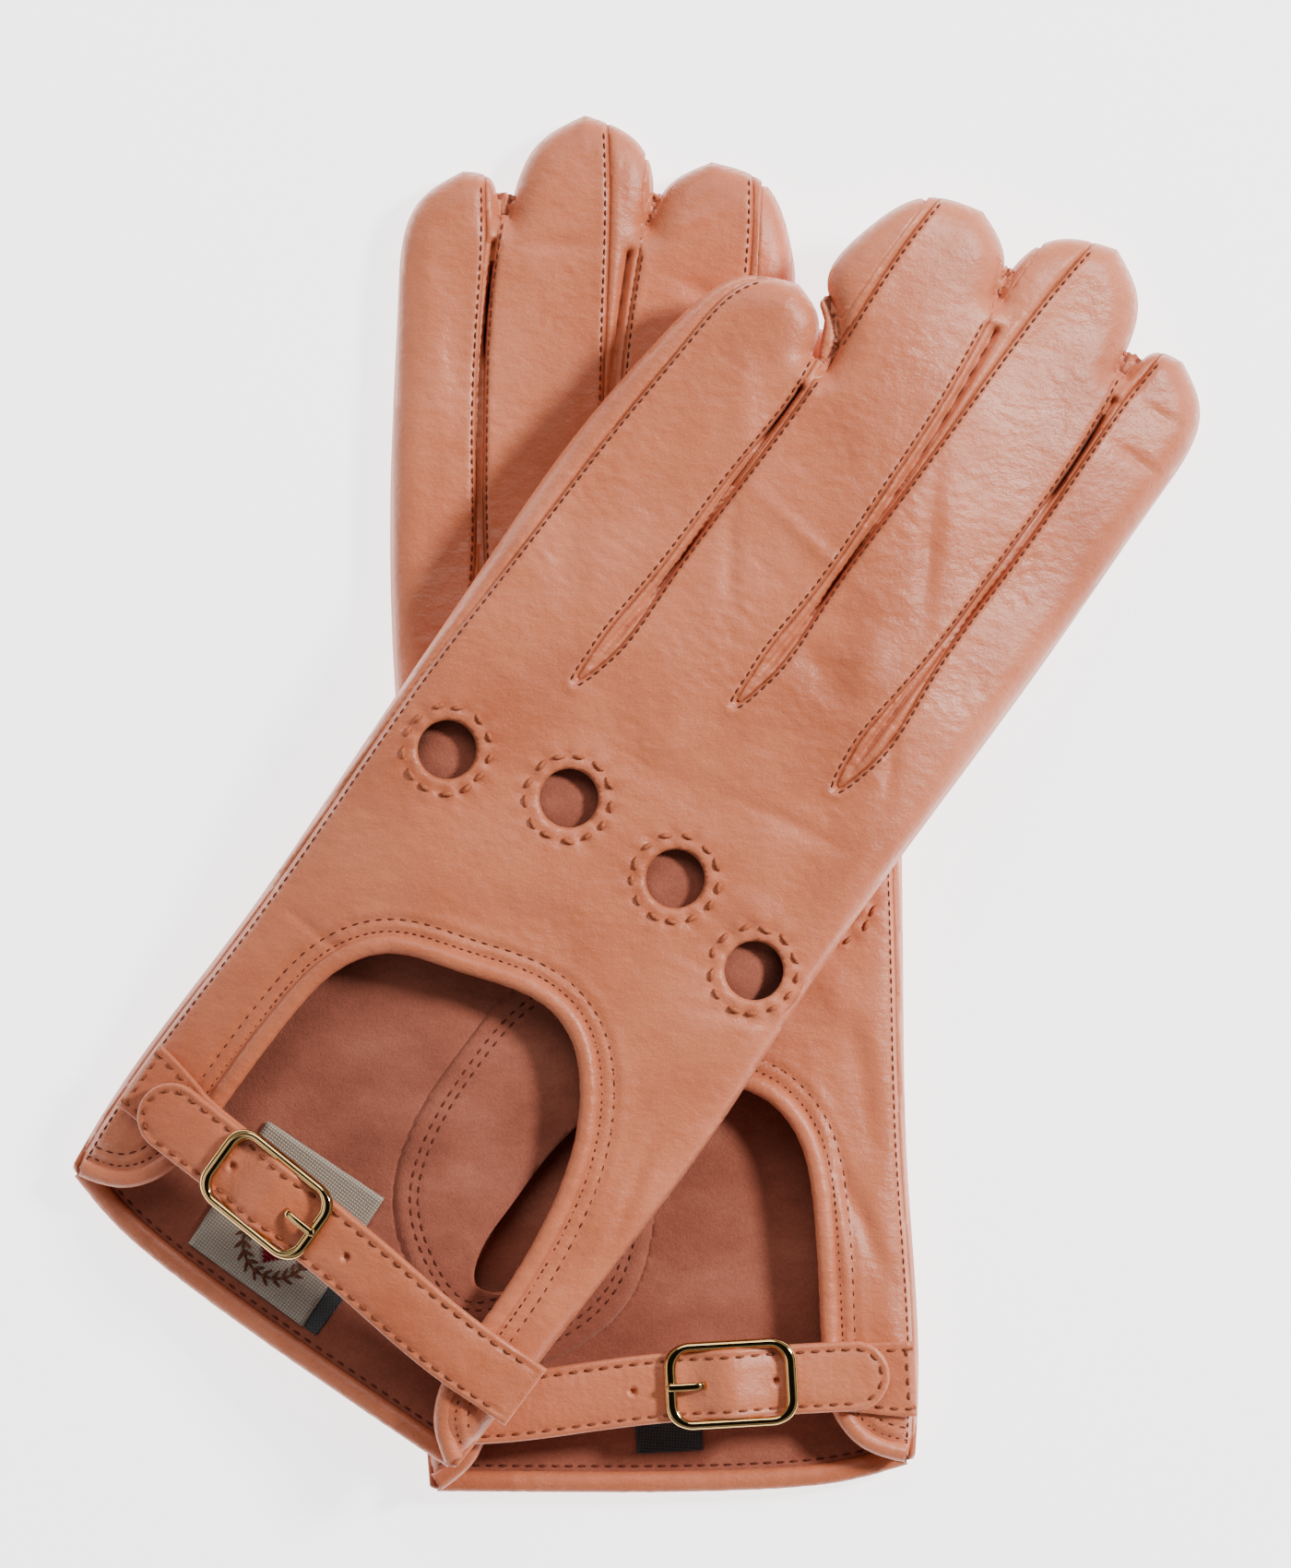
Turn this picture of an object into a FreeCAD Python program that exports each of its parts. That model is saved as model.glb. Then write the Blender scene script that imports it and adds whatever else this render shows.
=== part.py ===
"""A pair of short leather driving gloves with buckled wrist straps, the left glove lying across the right.

Units are millimetres. Each glove is drawn in its own plan: u runs towards the index finger, v from the cuff
towards the fingertips. The right glove is the mirror image of the left. Every leather sheet is the glove's
plan cut out of a draped layer, so the left glove rises over the right one and falls away on both sides.
"""
import FreeCAD, Part
import math
import os
from FreeCAD import Placement, Rotation, Vector

DIMENSIONS = {
    "leather": 0.9, "depth": 9.0, "thumb_depth": 3.3, "left_rise": 16.8,
    "cut_height": 70.0, "cut_below": 10.0,
    "binding_width": 3.0, "binding_depth": 2.8, "binding_proud": 0.8,
    "hem_width": 3.0, "hem_depth": 2.4,
    "knuckle_radius": 4.8, "facing_radius": 8.2, "facing_depth": 0.6,
    "label_depth": 0.4,
    "strap_width": 11.4, "strap_depth": 1.4, "strap_lift": 0.9, "tab_depth": 1.2,
    "sewn_gap": 0.08,
    "buckle_length": 22.0, "buckle_height": 14.4, "rim_end": 2.0, "rim_side": 1.25, "rim_depth": 1.8,
    "buckle_corner": 4.2, "window_corner": 2.6, "rim_round": 0.55,
    "bar_radius": 0.75, "bar_play": 0.05, "loop_wall": 0.95, "eye_wall": 0.65, "eye_width": 1.6,
    "prong_width": 1.3, "prong_depth": 0.8, "strap_hole": 0.7, "slot_width": 2.2, "slot_length": 3.6,
}

# Plan outline of the left glove, (u, v), one list for each side of each finger, from the cuff round to the cuff.
LITTLE_SIDE = [(-41.0, 0.8), (-42.2, 12), (-42.5, 50), (-43.6, 80), (-45.6, 122), (-46.4, 148), (-44.8, 170),
               (-39.6, 185.6), (-32.0, 189.6)]
LITTLE_INNER = [(-32.0, 189.6), (-25.9, 187), (-22.9, 178), (-22.1, 160), (-21.7, 141), (-21.2, 121)]
RING_OUTER = [(-21.2, 121), (-20.8, 150), (-20.5, 176), (-21.9, 187.2), (-28.2, 192.4), (-28.6, 203),
              (-23.5, 213.9), (-15.0, 217.6)]
RING_INNER = [(-15.0, 217.6), (-8.0, 214.2), (-4.2, 204), (-1.8, 186), (-0.5, 160), (0.7, 131)]
MIDDLE_OUTER = [(0.7, 131), (0.4, 160), (-0.7, 186), (-3.0, 204.4), (-5.4, 213), (-3.0, 221), (6.5, 226.6)]
MIDDLE_INNER = [(6.5, 226.6), (14.2, 222.2), (18.3, 212), (20.8, 196), (21.9, 165), (22.5, 129.5)]
INDEX_OUTER = [(22.5, 129.5), (23.1, 165), (22.6, 196), (20.5, 212.4), (21.9, 217), (26.5, 218.5)]
INDEX_SIDE = [(26.5, 218.5), (33.2, 214.4), (36.7, 199), (37.7, 165), (37.8, 130), (38.5, 100), (40.4, 72),
              (40.4, 35), (39.6, 0.5)]
HEM = [(39.6, 0.5), (20, -1.3), (-16, -2.9), (-30, -2.2), (-41.0, 0.8)]

HEM_PATH = [(-38.6, 1.6), (-30, -0.6), (-16, -1.3), (20, 0.3), (37.4, 1.7)]
BINDING_PATH = [(-38.8, 2.6), (-32, 5.2), (-28.6, 11), (-28, 20), (-28, 44), (-25.6, 56.6), (-20.5, 63), (-10, 67.4),
                (0, 70.8), (6, 71.6), (12, 70.2), (19, 64.4), (25.2, 53.6), (28.8, 39), (30, 22), (30.6, 10.5),
                (33.4, 4.9), (37.6, 2.2)]
KEYSTONE = [(12, 77), (1.5, 68), (-0.8, 56), (0.4, 42), (5, 30), (14, 22.5), (26, 20), (34, 30), (36, 50), (30, 70)]
THUMB = [(36, 44), (33.5, 66), (25.5, 92), (18.4, 108), (10.6, 113.6), (3.8, 108.6), (2.6, 96), (5.6, 76),
         (9.4, 56), (13.6, 38), (22.4, 27.4), (32, 31)]
THUMB_HOLE = [(24.4, 61), (21.2, 50), (22, 39), (26, 32.6), (31.2, 41), (30, 53)]
KNUCKLES = [(-32.2, 94.0), (-11.5, 99.6), (10.3, 99.5), (29.6, 95.2)]
STRAP_LINE = [(-37.4, 18.8), (-24, 18.8), (-11.2, 18.8), (2, 18.5), (14, 17.6), (26, 16.8), (41.6, 17.2)]
BUCKLE_U, BUCKLE_V = -11.2, 18.8
TAB_END_U = -41.4
STRAP_HOLES = [-7.5, 16.2]
PRONG_SLOT = 4.4
LABEL = [(-19.4, 27), (3.6, 28.6), (5.6, 3.4), (-17.8, 2.6)]
CARE_LABEL = [(-10, 26.4), (4.6, 27.6), (8.0, 4.2), (-8, 3.0)]
SIZE_LABEL = [(-6, 10.4), (5, 11.0), (5, 4.4), (-6, 3.9)]

LEFT, RIGHT = "left", "right"
PLACES = {LEFT: (Vector(-61.5, -85.7, 0), -36.87), RIGHT: (Vector(5.4, -111.8, 0), 3.3)}
# The left glove falls away from the right one at both ends: a level top, a short bend, then a straight slope.
LEFT_SLOPES = {"low": (-110.0, -44.0, -28.0, 0.28), "high": (110.0, 52.0, 36.0, 0.324)}
# The right glove's palm lies on its folded thumb, and its fingers come down to the table.
RIGHT_FALL = (116.0, 164.0)
RIGHT_LEAN, LEAN_START, LEAN_SPAN = 5.0, 140.0, 80.0

doc = FreeCAD.newDocument("gloves")
sheet = doc.addObject("Spreadsheet::Sheet", "dims")
for row, (alias, value) in enumerate(DIMENSIONS.items(), start=1):
    sheet.set(f"A{row}", alias)
    sheet.set(f"B{row}", str(value))
    sheet.setAlias(f"B{row}", alias)
doc.recompute()


def size(alias):
    return float(sheet.get(alias))


def left_height(x):
    """How high the left glove's palm lies at world x."""
    rise = size("left_rise")
    for _, slope_at, level_at, slope in LEFT_SLOPES.values():
        way = math.copysign(1.0, slope_at - level_at)
        past = way * (x - level_at)
        bend = abs(slope_at - level_at)
        if past > bend:
            return rise - slope * (past - bend / 2)
        if past > 0:
            return rise - slope * past**2 / (2 * bend)
    return rise


def left_normal(x):
    """The left glove's upward direction at world x."""
    reach = 0.01
    slope = (left_height(x + reach) - left_height(x - reach)) / (2 * reach)
    return Vector(-slope, 0, 1).normalize()


def right_height(v):
    """How high the right glove's palm lies at v along it."""
    start, end = RIGHT_FALL
    share = min(1.0, max(0.0, (v - start) / (end - start)))
    return size("thumb_depth") * (1 - share**2 * (3 - 2 * share))


def plan(hand, u, v, z=0.0):
    """A point of the glove's plan in the hand's own flat frame; the right hand is mirrored and its fingers lean."""
    if hand == LEFT:
        return Vector(u, v, z)
    lean = RIGHT_LEAN * max(0.0, (v - LEAN_START) / LEAN_SPAN) ** 1.5
    return Vector(lean - u, v, z)


def place(hand, z=0.0):
    base, turn = PLACES[hand]
    return Placement(base + Vector(0, 0, z), Rotation(Vector(0, 0, 1), turn))


def height(hand, u, v):
    """The palm's height under a point of the plan."""
    return left_height(place(hand).multVec(plan(hand, u, v)).x) if hand == LEFT else right_height(v)


def curve(points, closed=False, start=None, end=None):
    """A smooth curve through points, with its direction at either end if that is given."""
    made = Part.BSplineCurve()
    if closed:
        made.interpolate(Points=points, PeriodicFlag=True)
    elif start or end:
        directions = [start or Vector(1, 0, 0)] + [Vector(1, 0, 0)] * (len(points) - 2) + [end or Vector(1, 0, 0)]
        given = [bool(start)] + [False] * (len(points) - 2) + [bool(end)]
        made.interpolate(Points=points, Tangents=directions, TangentFlags=given)
    else:
        made.interpolate(Points=points)
    return made


def side_curve(hand, points, closed=False, flat_start=False, flat_end=False):
    """A smooth curve of the hand's plan; a flat end lies level across a fingertip."""
    across = Vector(1 if hand == LEFT else -1, 0, 0)
    return curve([plan(hand, u, v) for u, v in points], closed, across if flat_start else None,
                 across if flat_end else None)


def outline(hand):
    """The glove's whole edge as curves, end to end."""
    return [
        side_curve(hand, LITTLE_SIDE, flat_end=True),
        side_curve(hand, LITTLE_INNER, flat_start=True),
        side_curve(hand, RING_OUTER, flat_end=True),
        side_curve(hand, RING_INNER, flat_start=True),
        side_curve(hand, MIDDLE_OUTER, flat_end=True),
        side_curve(hand, MIDDLE_INNER, flat_start=True),
        side_curve(hand, INDEX_OUTER, flat_end=True),
        side_curve(hand, INDEX_SIDE, flat_start=True),
        side_curve(hand, HEM),
    ]


def polygon(hand, points):
    corners = [plan(hand, u, v) for u, v in points]
    return [Part.LineSegment(a, b) for a, b in zip(corners, corners[1:] + corners[:1])]


def plane_of(body, role):
    return next(f for f in body.Origin.OriginFeatures if f.Role == role)


def sketch_on(body, role, geometry, name="plan"):
    sketch = body.newObject("Sketcher::SketchObject", name)
    sketch.AttachmentSupport = (plane_of(body, role), [""])
    sketch.MapMode = "FlatFace"
    for item in geometry:
        sketch.addGeometry(item, False)
    return sketch


def padded(name, role, geometry, length, placement, midplane=False):
    """A PartDesign body: one sketch, padded by a length taken from the sheet."""
    body = doc.addObject("PartDesign::Body", name)
    pad = body.newObject("PartDesign::Pad", "pad")
    pad.Profile = sketch_on(body, role, geometry)
    pad.setExpression("Length", length)
    pad.Midplane = midplane
    body.Placement = placement
    body.Tip = pad
    return body


def cutter(hand, name, geometry):
    """The plan shape as a tall prism through every layer of the glove."""
    return padded(f"{hand}_{name}_cut", "XY_Plane", geometry, "dims.cut_height", place(hand, -size("cut_below")))


def feature(label, shape):
    """A shape made with Part's own functions, as an object of the document."""
    made = doc.addObject("Part::Feature", label)
    made.Label = label
    made.Shape = shape
    return made


def layer_edges(hand, lift):
    """The drape's line, lift above the palm's underside, as edges in a vertical plane."""
    if hand == LEFT:
        (far_low, low, flat_low, _), (far_high, high, flat_high, _) = LEFT_SLOPES.values()
        stops = [far_low, low, flat_low, flat_high, high, far_high]
        points = [Vector(x, 0, left_height(x) + lift) for x in stops]
        bends = {1: flat_low, 3: high}
        edges = []
        for i, (a, b) in enumerate(zip(points, points[1:])):
            if i in bends:
                middle = Vector((a.x + b.x) / 2, 0, size("left_rise") + lift)
                bend = Part.BezierCurve()
                bend.setPoles([a, middle, b])
                edges.append(bend.toShape())
            else:
                edges.append(Part.LineSegment(a, b).toShape())
        return edges
    start, end = RIGHT_FALL
    top, low = size("thumb_depth") + lift, lift
    fall = Part.BezierCurve()
    third = (end - start) / 3
    fall.setPoles([Vector(0, start, top), Vector(0, start + third, top), Vector(0, end - third, low),
                   Vector(0, end, low)])
    return [Part.LineSegment(Vector(0, -20, top), Vector(0, start, top)).toShape(), fall.toShape(),
            Part.LineSegment(Vector(0, end, low), Vector(0, 250, low)).toShape()]


LAYERS = {}


def layer(hand, low, high):
    """A draped sheet between two heights above the palm's underside, wider than the glove."""
    key = (hand, round(low, 3), round(high, 3))
    if key not in LAYERS:
        under, over = layer_edges(hand, low), layer_edges(hand, high)
        first, last = under[0].Vertexes[0].Point, under[-1].Vertexes[-1].Point
        rise = Vector(0, 0, high - low)
        sides = [Part.LineSegment(p, p + rise).toShape() for p in (first, last)]
        face = Part.Face(Part.Wire(Part.__sortEdges__(under + over + sides)))
        across = Vector(0, 1, 0) if hand == LEFT else Vector(1, 0, 0)
        reach = 150.0
        face.translate(across * -reach)
        solid = face.extrude(across * (2 * reach))
        if hand == RIGHT:
            solid.Placement = place(hand).multiply(solid.Placement)
        LAYERS[key] = feature(f"{hand}_layer_{len(LAYERS)}", solid)
    return LAYERS[key]


def prism(hand, face):
    """A flat face of the hand's plan, as a tall prism through every layer of the glove."""
    tall = face.extrude(Vector(0, 0, size("cut_height")))
    tall.Placement = place(hand, -size("cut_below"))
    return tall


def beside(hand, edge, offset, closed=False):
    """The curve that runs at an offset on the inner side of a plan curve."""
    flip = 1.0 if hand == LEFT else -1.0
    count = 40
    first, last = edge.FirstParameter, edge.LastParameter
    points = []
    for i in range(count + 1):
        at = first + (last - first) * i / count
        along = edge.tangent(at)[0]
        points.append(edge.value(at) + Vector(along.y, -along.x, 0) * (offset * flip))
    return curve(points[:-1], closed=True) if closed else curve(points)


def strip(hand, edge, inner, outer=0.0):
    """A prism along a plan curve, from one offset on its inner side to another on its outer side."""
    one = beside(hand, edge, inner)
    other = beside(hand, edge, -outer) if outer else edge
    ends = [Part.LineSegment(other.value(a), one.value(b)).toShape()
            for a, b in ((other.FirstParameter, one.FirstParameter), (other.LastParameter, one.LastParameter))]
    loop = [one.toShape(), other.toShape(), *ends]
    return prism(hand, Part.Face(Part.Wire(Part.__sortEdges__(loop))))


def band(hand, points, width):
    """A prism that follows an open plan line at equal width on both sides."""
    return strip(hand, side_curve(hand, points), width / 2, width / 2)


def boolean(kind, label, base, tool):
    made = doc.addObject(f"Part::{kind}", label)
    made.Base = base
    made.Tool = tool
    made.Label = label
    return made


def joined(label, *pieces):
    made = doc.addObject("Part::MultiFuse", label)
    made.Shapes = list(pieces)
    made.Label = label
    return made


SUBPARTS = []


def keep(piece):
    SUBPARTS.append(piece)
    return piece


def opening_face(hand):
    """Everything inside the line of the wrist opening's binding, down past the cuff."""
    ends = [plan(hand, *BINDING_PATH[-1]), plan(hand, 38, -12), plan(hand, -39, -12), plan(hand, *BINDING_PATH[0])]
    lines = [Part.LineSegment(a, b) for a, b in zip(ends, ends[1:])]
    return [side_curve(hand, BINDING_PATH), *lines]


def make_sheets(hand):
    """The back, the palm, the thumb's keystone and the facings behind the knuckle holes."""
    leather, depth = size("leather"), size("depth")
    whole = cutter(hand, "outline", outline(hand))
    hem = feature(f"{hand}_hem_band", band(hand, HEM_PATH, size("hem_width")))
    rim = feature(f"{hand}_binding_band", band(hand, BINDING_PATH, size("binding_width")))
    gap = cutter(hand, "opening", opening_face(hand))
    thumb_panel = cutter(hand, "keystone", [side_curve(hand, KEYSTONE, closed=True)])
    thumb_hole = cutter(hand, "thumb_hole", [side_curve(hand, THUMB_HOLE, closed=True)])
    holes = cutter(hand, "knuckles", [
        Part.Circle(plan(hand, u, v), Vector(0, 0, 1), size("knuckle_radius")) for u, v in KNUCKLES])

    back_sheet = boolean("Common", f"{hand}_back_sheet", whole, layer(hand, depth - leather, depth))
    back_open = boolean("Cut", f"{hand}_back_open", back_sheet, joined(f"{hand}_back_gaps", gap, rim, holes))
    fold = strip_piece(hand, "index_fold", [side_curve(hand, INDEX_SIDE, flat_start=True)])
    keep(joined(f"{hand}_back_panel", back_open, fold))

    palm_sheet = boolean("Common", f"{hand}_palm_sheet", whole, layer(hand, 0, leather))
    palm_open = boolean("Cut", f"{hand}_palm_open", palm_sheet, joined(f"{hand}_palm_gaps", hem, thumb_panel))
    side = strip_piece(hand, "little_side", [side_curve(hand, LITTLE_SIDE, flat_end=True)])
    keep(joined(f"{hand}_palm_panel", palm_open, side))

    keystone = boolean("Common", f"{hand}_keystone_sheet", thumb_panel, layer(hand, 0, leather))
    keep(boolean("Cut", f"{hand}_thumb_keystone", keystone, thumb_hole))

    rings = cutter(hand, "facings", [
        Part.Circle(plan(hand, u, v), Vector(0, 0, 1), r)
        for u, v in KNUCKLES for r in (size("knuckle_radius"), size("facing_radius"))])
    inside = depth - leather
    inner_rings = boolean("Common", f"{hand}_facing_rings", rings, layer(hand, inside - size("facing_depth"), inside))
    keep(boolean("Cut", f"{hand}_knuckle_facings", inner_rings, fold))

    top = depth + size("binding_proud")
    keep(boolean("Common", f"{hand}_opening_binding", rim, layer(hand, top - size("binding_depth"), top)))
    keep(boolean("Common", f"{hand}_cuff_binding", hem, layer(hand, 0, size("hem_depth"))))


def strip_piece(hand, name, curves):
    """A leather wall between the palm and the back, standing inside the plan's edge, clear of the cuff's hem."""
    leather, depth = size("leather"), size("depth")
    pieces = [strip(hand, line, leather) for line in curves]
    if len(curves) > 1:
        crotch = curves[0].value(curves[0].LastParameter)
        pieces.append(prism(hand, Part.Face(Part.Wire(Part.Circle(crotch, Vector(0, 0, 1), leather).toShape()))))
    wall = feature(f"{hand}_{name}_strip", pieces[0].multiFuse(pieces[1:]) if len(pieces) > 1 else pieces[0])
    tall = boolean("Common", f"{hand}_{name}_wall", wall, layer(hand, leather, depth - leather))
    lower = Part.makeBox(120, 30, 100, Vector(-60, -25, -20))
    lower.Placement = place(hand).multiply(lower.Placement)
    return boolean("Cut", f"{hand}_{name}", tall, feature(f"{hand}_{name}_below", lower))


def make_fourchettes(hand):
    """The three forked strips between the fingers."""
    gaps = {
        "fourchette_ring_little": (LITTLE_INNER, RING_OUTER),
        "fourchette_middle_ring": (RING_INNER, MIDDLE_OUTER),
        "fourchette_index_middle": (MIDDLE_INNER, INDEX_OUTER),
    }
    for name, (down, up) in gaps.items():
        runs = [side_curve(hand, down, flat_start=True), side_curve(hand, up, flat_end=True)]
        piece = strip_piece(hand, f"{name}_arms", runs)
        piece.Label = f"{hand}_{name}"
        keep(piece)


def make_thumb(hand):
    """The thumb, pressed flat and folded under the palm: a thin shell, open at its root into the palm."""
    leather, deep = size("leather"), size("thumb_depth")
    shape = cutter(hand, "thumb", [side_curve(hand, THUMB, closed=True)])
    shell = boolean("Common", f"{hand}_thumb_outside", shape, layer(hand, -deep, 0))
    inside = beside(hand, side_curve(hand, THUMB, closed=True), -leather, closed=True)
    inner = cutter(hand, "thumb_inner", [inside])
    hollow = boolean("Common", f"{hand}_thumb_hollow", inner, layer(hand, leather - deep, -leather))
    mouth = cutter(hand, "thumb_mouth", [side_curve(hand, THUMB_HOLE, closed=True)])
    throat = boolean("Common", f"{hand}_thumb_throat", mouth, layer(hand, -leather, 0))
    keep(boolean("Cut", f"{hand}_thumb", shell, joined(f"{hand}_thumb_space", hollow, throat)))


def make_labels(hand):
    leather, thick = size("leather"), size("label_depth")
    if hand == LEFT:
        care = cutter(hand, "care", polygon(hand, CARE_LABEL))
        keep(boolean("Common", "left_care_label", care, layer(hand, leather, leather + thick)))
        brand = cutter(hand, "maker", polygon(hand, LABEL))
        keep(boolean("Common", "left_lining_label", brand, layer(hand, leather + thick, leather + 2 * thick)))
    else:
        small = cutter(hand, "size", polygon(hand, SIZE_LABEL))
        keep(boolean("Common", "right_size_label", small, layer(hand, leather, leather + thick)))


def buckle_place(hand):
    """The buckle's frame: x along the strap towards the index side, z up from the tab's underside."""
    u, v = BUCKLE_U, BUCKLE_V
    if hand == RIGHT:
        v -= 3.1
    at = place(hand).multVec(plan(hand, u, v, height(hand, u, v) + size("depth")))
    turn = PLACES[hand][1]
    if hand == RIGHT:
        return Placement(at + Vector(0, 0, size("strap_lift")), Rotation(Vector(0, 0, 1), turn + 180))
    upward = left_normal(at.x)
    lean = Rotation(Vector(0, 0, 1), upward)
    return Placement(at + upward * size("strap_lift"), lean.multiply(Rotation(Vector(0, 0, 1), turn)))


def heights():
    """Heights above the tab's underside: the bar, the rim's middle and the strap's underside over the bar."""
    bar = size("bar_radius") + size("bar_play") + size("loop_wall")
    over = 2 * bar + 0.1
    rim = size("tab_depth") + 0.1 + size("strap_depth") + 0.22 + size("rim_depth") / 2
    return bar, rim, over


def strap_rise(along):
    """How far the strap's underside lies above the tab's underside, along from the buckle's bar."""
    bar, rim, over = heights()
    under_rim = size("tab_depth") + 0.1
    sewn = size("sewn_gap") - size("strap_lift")
    knots = [(-60, under_rim), (-8.0, under_rim), (0, over), (8.0, under_rim), (26, 0.1), (43.5, 0.1),
             (48.5, sewn), (80, sewn)]
    for (a, low), (b, high) in zip(knots, knots[1:]):
        if along <= b:
            share = (along - a) / (b - a)
            return low + (high - low) * share**2 * (3 - 2 * share)
    return sewn


def make_strap(hand):
    """The long strap: sewn down at the index side, over the opening, through the buckle to its round tip."""
    width, thick = size("strap_width"), size("strap_depth")
    drop = 3.1 if hand == RIGHT else 0.0
    line = curve([Vector(u, v - drop, 0) for u, v in STRAP_LINE])
    start, end = STRAP_LINE[0][0], STRAP_LINE[-1][0]
    sections = []
    count = 41
    for i in range(count):
        u = start + (end - start) * i / (count - 1)
        middle = line.value(line.parameter(Vector(u, BUCKLE_V - drop, 0)))
        corners = []
        for side, level in ((-1, 0), (1, 0), (1, 1), (-1, 1)):
            v = middle.y + side * width / 2
            ground = place(hand).multVec(plan(hand, u, v, height(hand, u, v) + size("depth")))
            upward = left_normal(ground.x) if hand == LEFT else Vector(0, 0, 1)
            corners.append(ground + upward * (size("strap_lift") + strap_rise(u - BUCKLE_U) + level * thick))
        sections.append(Part.makePolygon(corners + corners[:1]))
    long_strap = feature(f"{hand}_strap_blank", Part.makeLoft(sections, True, False))
    radius = width / 2
    tip = plan(hand, start + radius, BUCKLE_V - drop)
    far = plan(hand, end + 10, BUCKLE_V - drop)
    flip = 1 if far.x > tip.x else -1
    top, bottom = Vector(0, radius, 0), Vector(0, -radius, 0)
    rear = Vector(0, 3 * radius, 0)
    outline_edges = [
        Part.Arc(tip + top, tip + Vector(-flip * radius, 0, 0), tip + bottom),
        Part.LineSegment(tip + bottom, tip + bottom + Vector(flip * radius, 0, 0)),
        Part.LineSegment(tip + bottom + Vector(flip * radius, 0, 0), far - rear),
        Part.LineSegment(far - rear, far + rear),
        Part.LineSegment(far + rear, tip + top + Vector(flip * radius, 0, 0)),
        Part.LineSegment(tip + top + Vector(flip * radius, 0, 0), tip + top),
    ]
    trimmed = boolean("Common", f"{hand}_strap_trim", long_strap, cutter(hand, "strap", outline_edges))
    holes = [Part.Circle(plan(hand, BUCKLE_U + s, BUCKLE_V - drop), Vector(0, 0, 1), size("strap_hole"))
             for s in STRAP_HOLES]
    punched = boolean("Cut", f"{hand}_strap_punched", trimmed, cutter(hand, "strap_holes", holes))
    half, across = size("slot_length") / 2, size("slot_width") / 2
    slot = Part.makeBox(2 * half, 2 * across, 12, Vector(PRONG_SLOT - half, -across, -1))
    slot.Placement = buckle_place(hand)
    keep(boolean("Cut", f"{hand}_strap", punched, feature(f"{hand}_strap_slot", slot)))


def make_tab(hand):
    """The short tab that holds the buckle: sewn down at the little-finger side, its end a loop round the bar."""
    bar, rim, over = heights()
    reach = BUCKLE_U - TAB_END_U
    loop = size("bar_radius") + size("bar_play") + size("loop_wall")
    thick = size("tab_depth")
    foot = size("sewn_gap") - size("strap_lift")
    join_x = -math.sqrt(loop**2 - (bar - thick) ** 2)
    corners = [Vector(join_x, thick, 0), Vector(-reach, thick, 0), Vector(-reach, foot, 0),
               Vector(9 - reach, foot, 0), Vector(10.5 - reach, 0, 0), Vector(0, 0, 0)]
    profile = [Part.LineSegment(a, b) for a, b in zip(corners, corners[1:])]
    profile += [
        Part.ArcOfCircle(Part.Circle(Vector(0, bar, 0), Vector(0, 0, 1), loop), -math.pi / 2,
                         math.atan2(thick - bar, join_x) % (2 * math.pi)),
        Part.Circle(Vector(0, bar, 0), Vector(0, 0, 1), size("bar_radius") + size("bar_play")),
    ]
    body = padded(f"{hand}_tab_strip", "XZ_Plane", profile, "dims.strap_width", buckle_place(hand), midplane=True)
    notch_half = size("eye_width") / 2 + 0.3
    notch = Part.makeBox(3 * loop, 2 * notch_half, 3 * loop, Vector(-loop - 0.4, -notch_half, -0.5))
    notch.Placement = buckle_place(hand)
    keep(boolean("Cut", f"{hand}_strap_tab", body, feature(f"{hand}_tab_notch", notch)))


def rounded(length, width, radius, z=0):
    """A rectangle with round corners, centred on the origin."""
    x, y = length / 2, width / 2
    edges = []
    corners = [(x - radius, y - radius, 0), (radius - x, y - radius, 90), (radius - x, radius - y, 180),
               (x - radius, radius - y, 270)]
    arcs = []
    for cx, cy, start in corners:
        circle = Part.Circle(Vector(cx, cy, z), Vector(0, 0, 1), radius)
        arcs.append(Part.ArcOfCircle(circle, math.radians(start), math.radians(start + 90)))
    for arc, after in zip(arcs, arcs[1:] + arcs[:1]):
        edges += [arc, Part.LineSegment(arc.EndPoint, after.StartPoint)]
    return edges


def make_buckle(hand):
    """The buckle's frame: a round-cornered rim, with its bar hung below it on two posts."""
    bar, rim, over = heights()
    length, tall = size("buckle_length"), size("buckle_height")
    window_length, window = length - 2 * size("rim_end"), tall - 2 * size("rim_side")
    ring_place = buckle_place(hand).multiply(Placement(Vector(0, 0, rim - size("rim_depth") / 2), Rotation()))
    body = doc.addObject("PartDesign::Body", f"{hand}_rim")
    ring = sketch_on(body, "XY_Plane", rounded(length, tall, size("buckle_corner"))
                     + rounded(window_length, window, size("window_corner")))
    pad = body.newObject("PartDesign::Pad", "pad")
    pad.Profile = ring
    pad.setExpression("Length", "dims.rim_depth")
    doc.recompute()
    flat = [f"Edge{i}" for i, e in enumerate(pad.Shape.Edges, 1)
            if abs(e.BoundBox.ZMin - e.BoundBox.ZMax) < 1e-6 and e.BoundBox.ZMin > 0.1]
    fillet = body.newObject("PartDesign::Fillet", "rounding")
    fillet.Base = (pad, flat)
    fillet.setExpression("Radius", "dims.rim_round")
    body.Tip = fillet
    body.Placement = ring_place
    span = tall - size("rim_side")
    rod = doc.addObject("Part::Cylinder", f"{hand}_bar")
    rod.setExpression("Radius", "dims.bar_radius")
    rod.Height = span
    rod.Placement = buckle_place(hand).multiply(Placement(Vector(0, -span / 2, bar), Rotation(Vector(1, 0, 0), -90)))
    posts = []
    for way in (-1, 1):
        post = doc.addObject("Part::Box", f"{hand}_post")
        post.Length = 2 * size("bar_radius")
        post.setExpression("Width", "dims.rim_side")
        post.Height = rim - bar
        low = Vector(-size("bar_radius"), way * span / 2 - size("rim_side") / 2, bar)
        post.Placement = buckle_place(hand).multiply(Placement(low, Rotation()))
        posts.append(post)
    keep(joined(f"{hand}_buckle_frame", body, rod, *posts))


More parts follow.
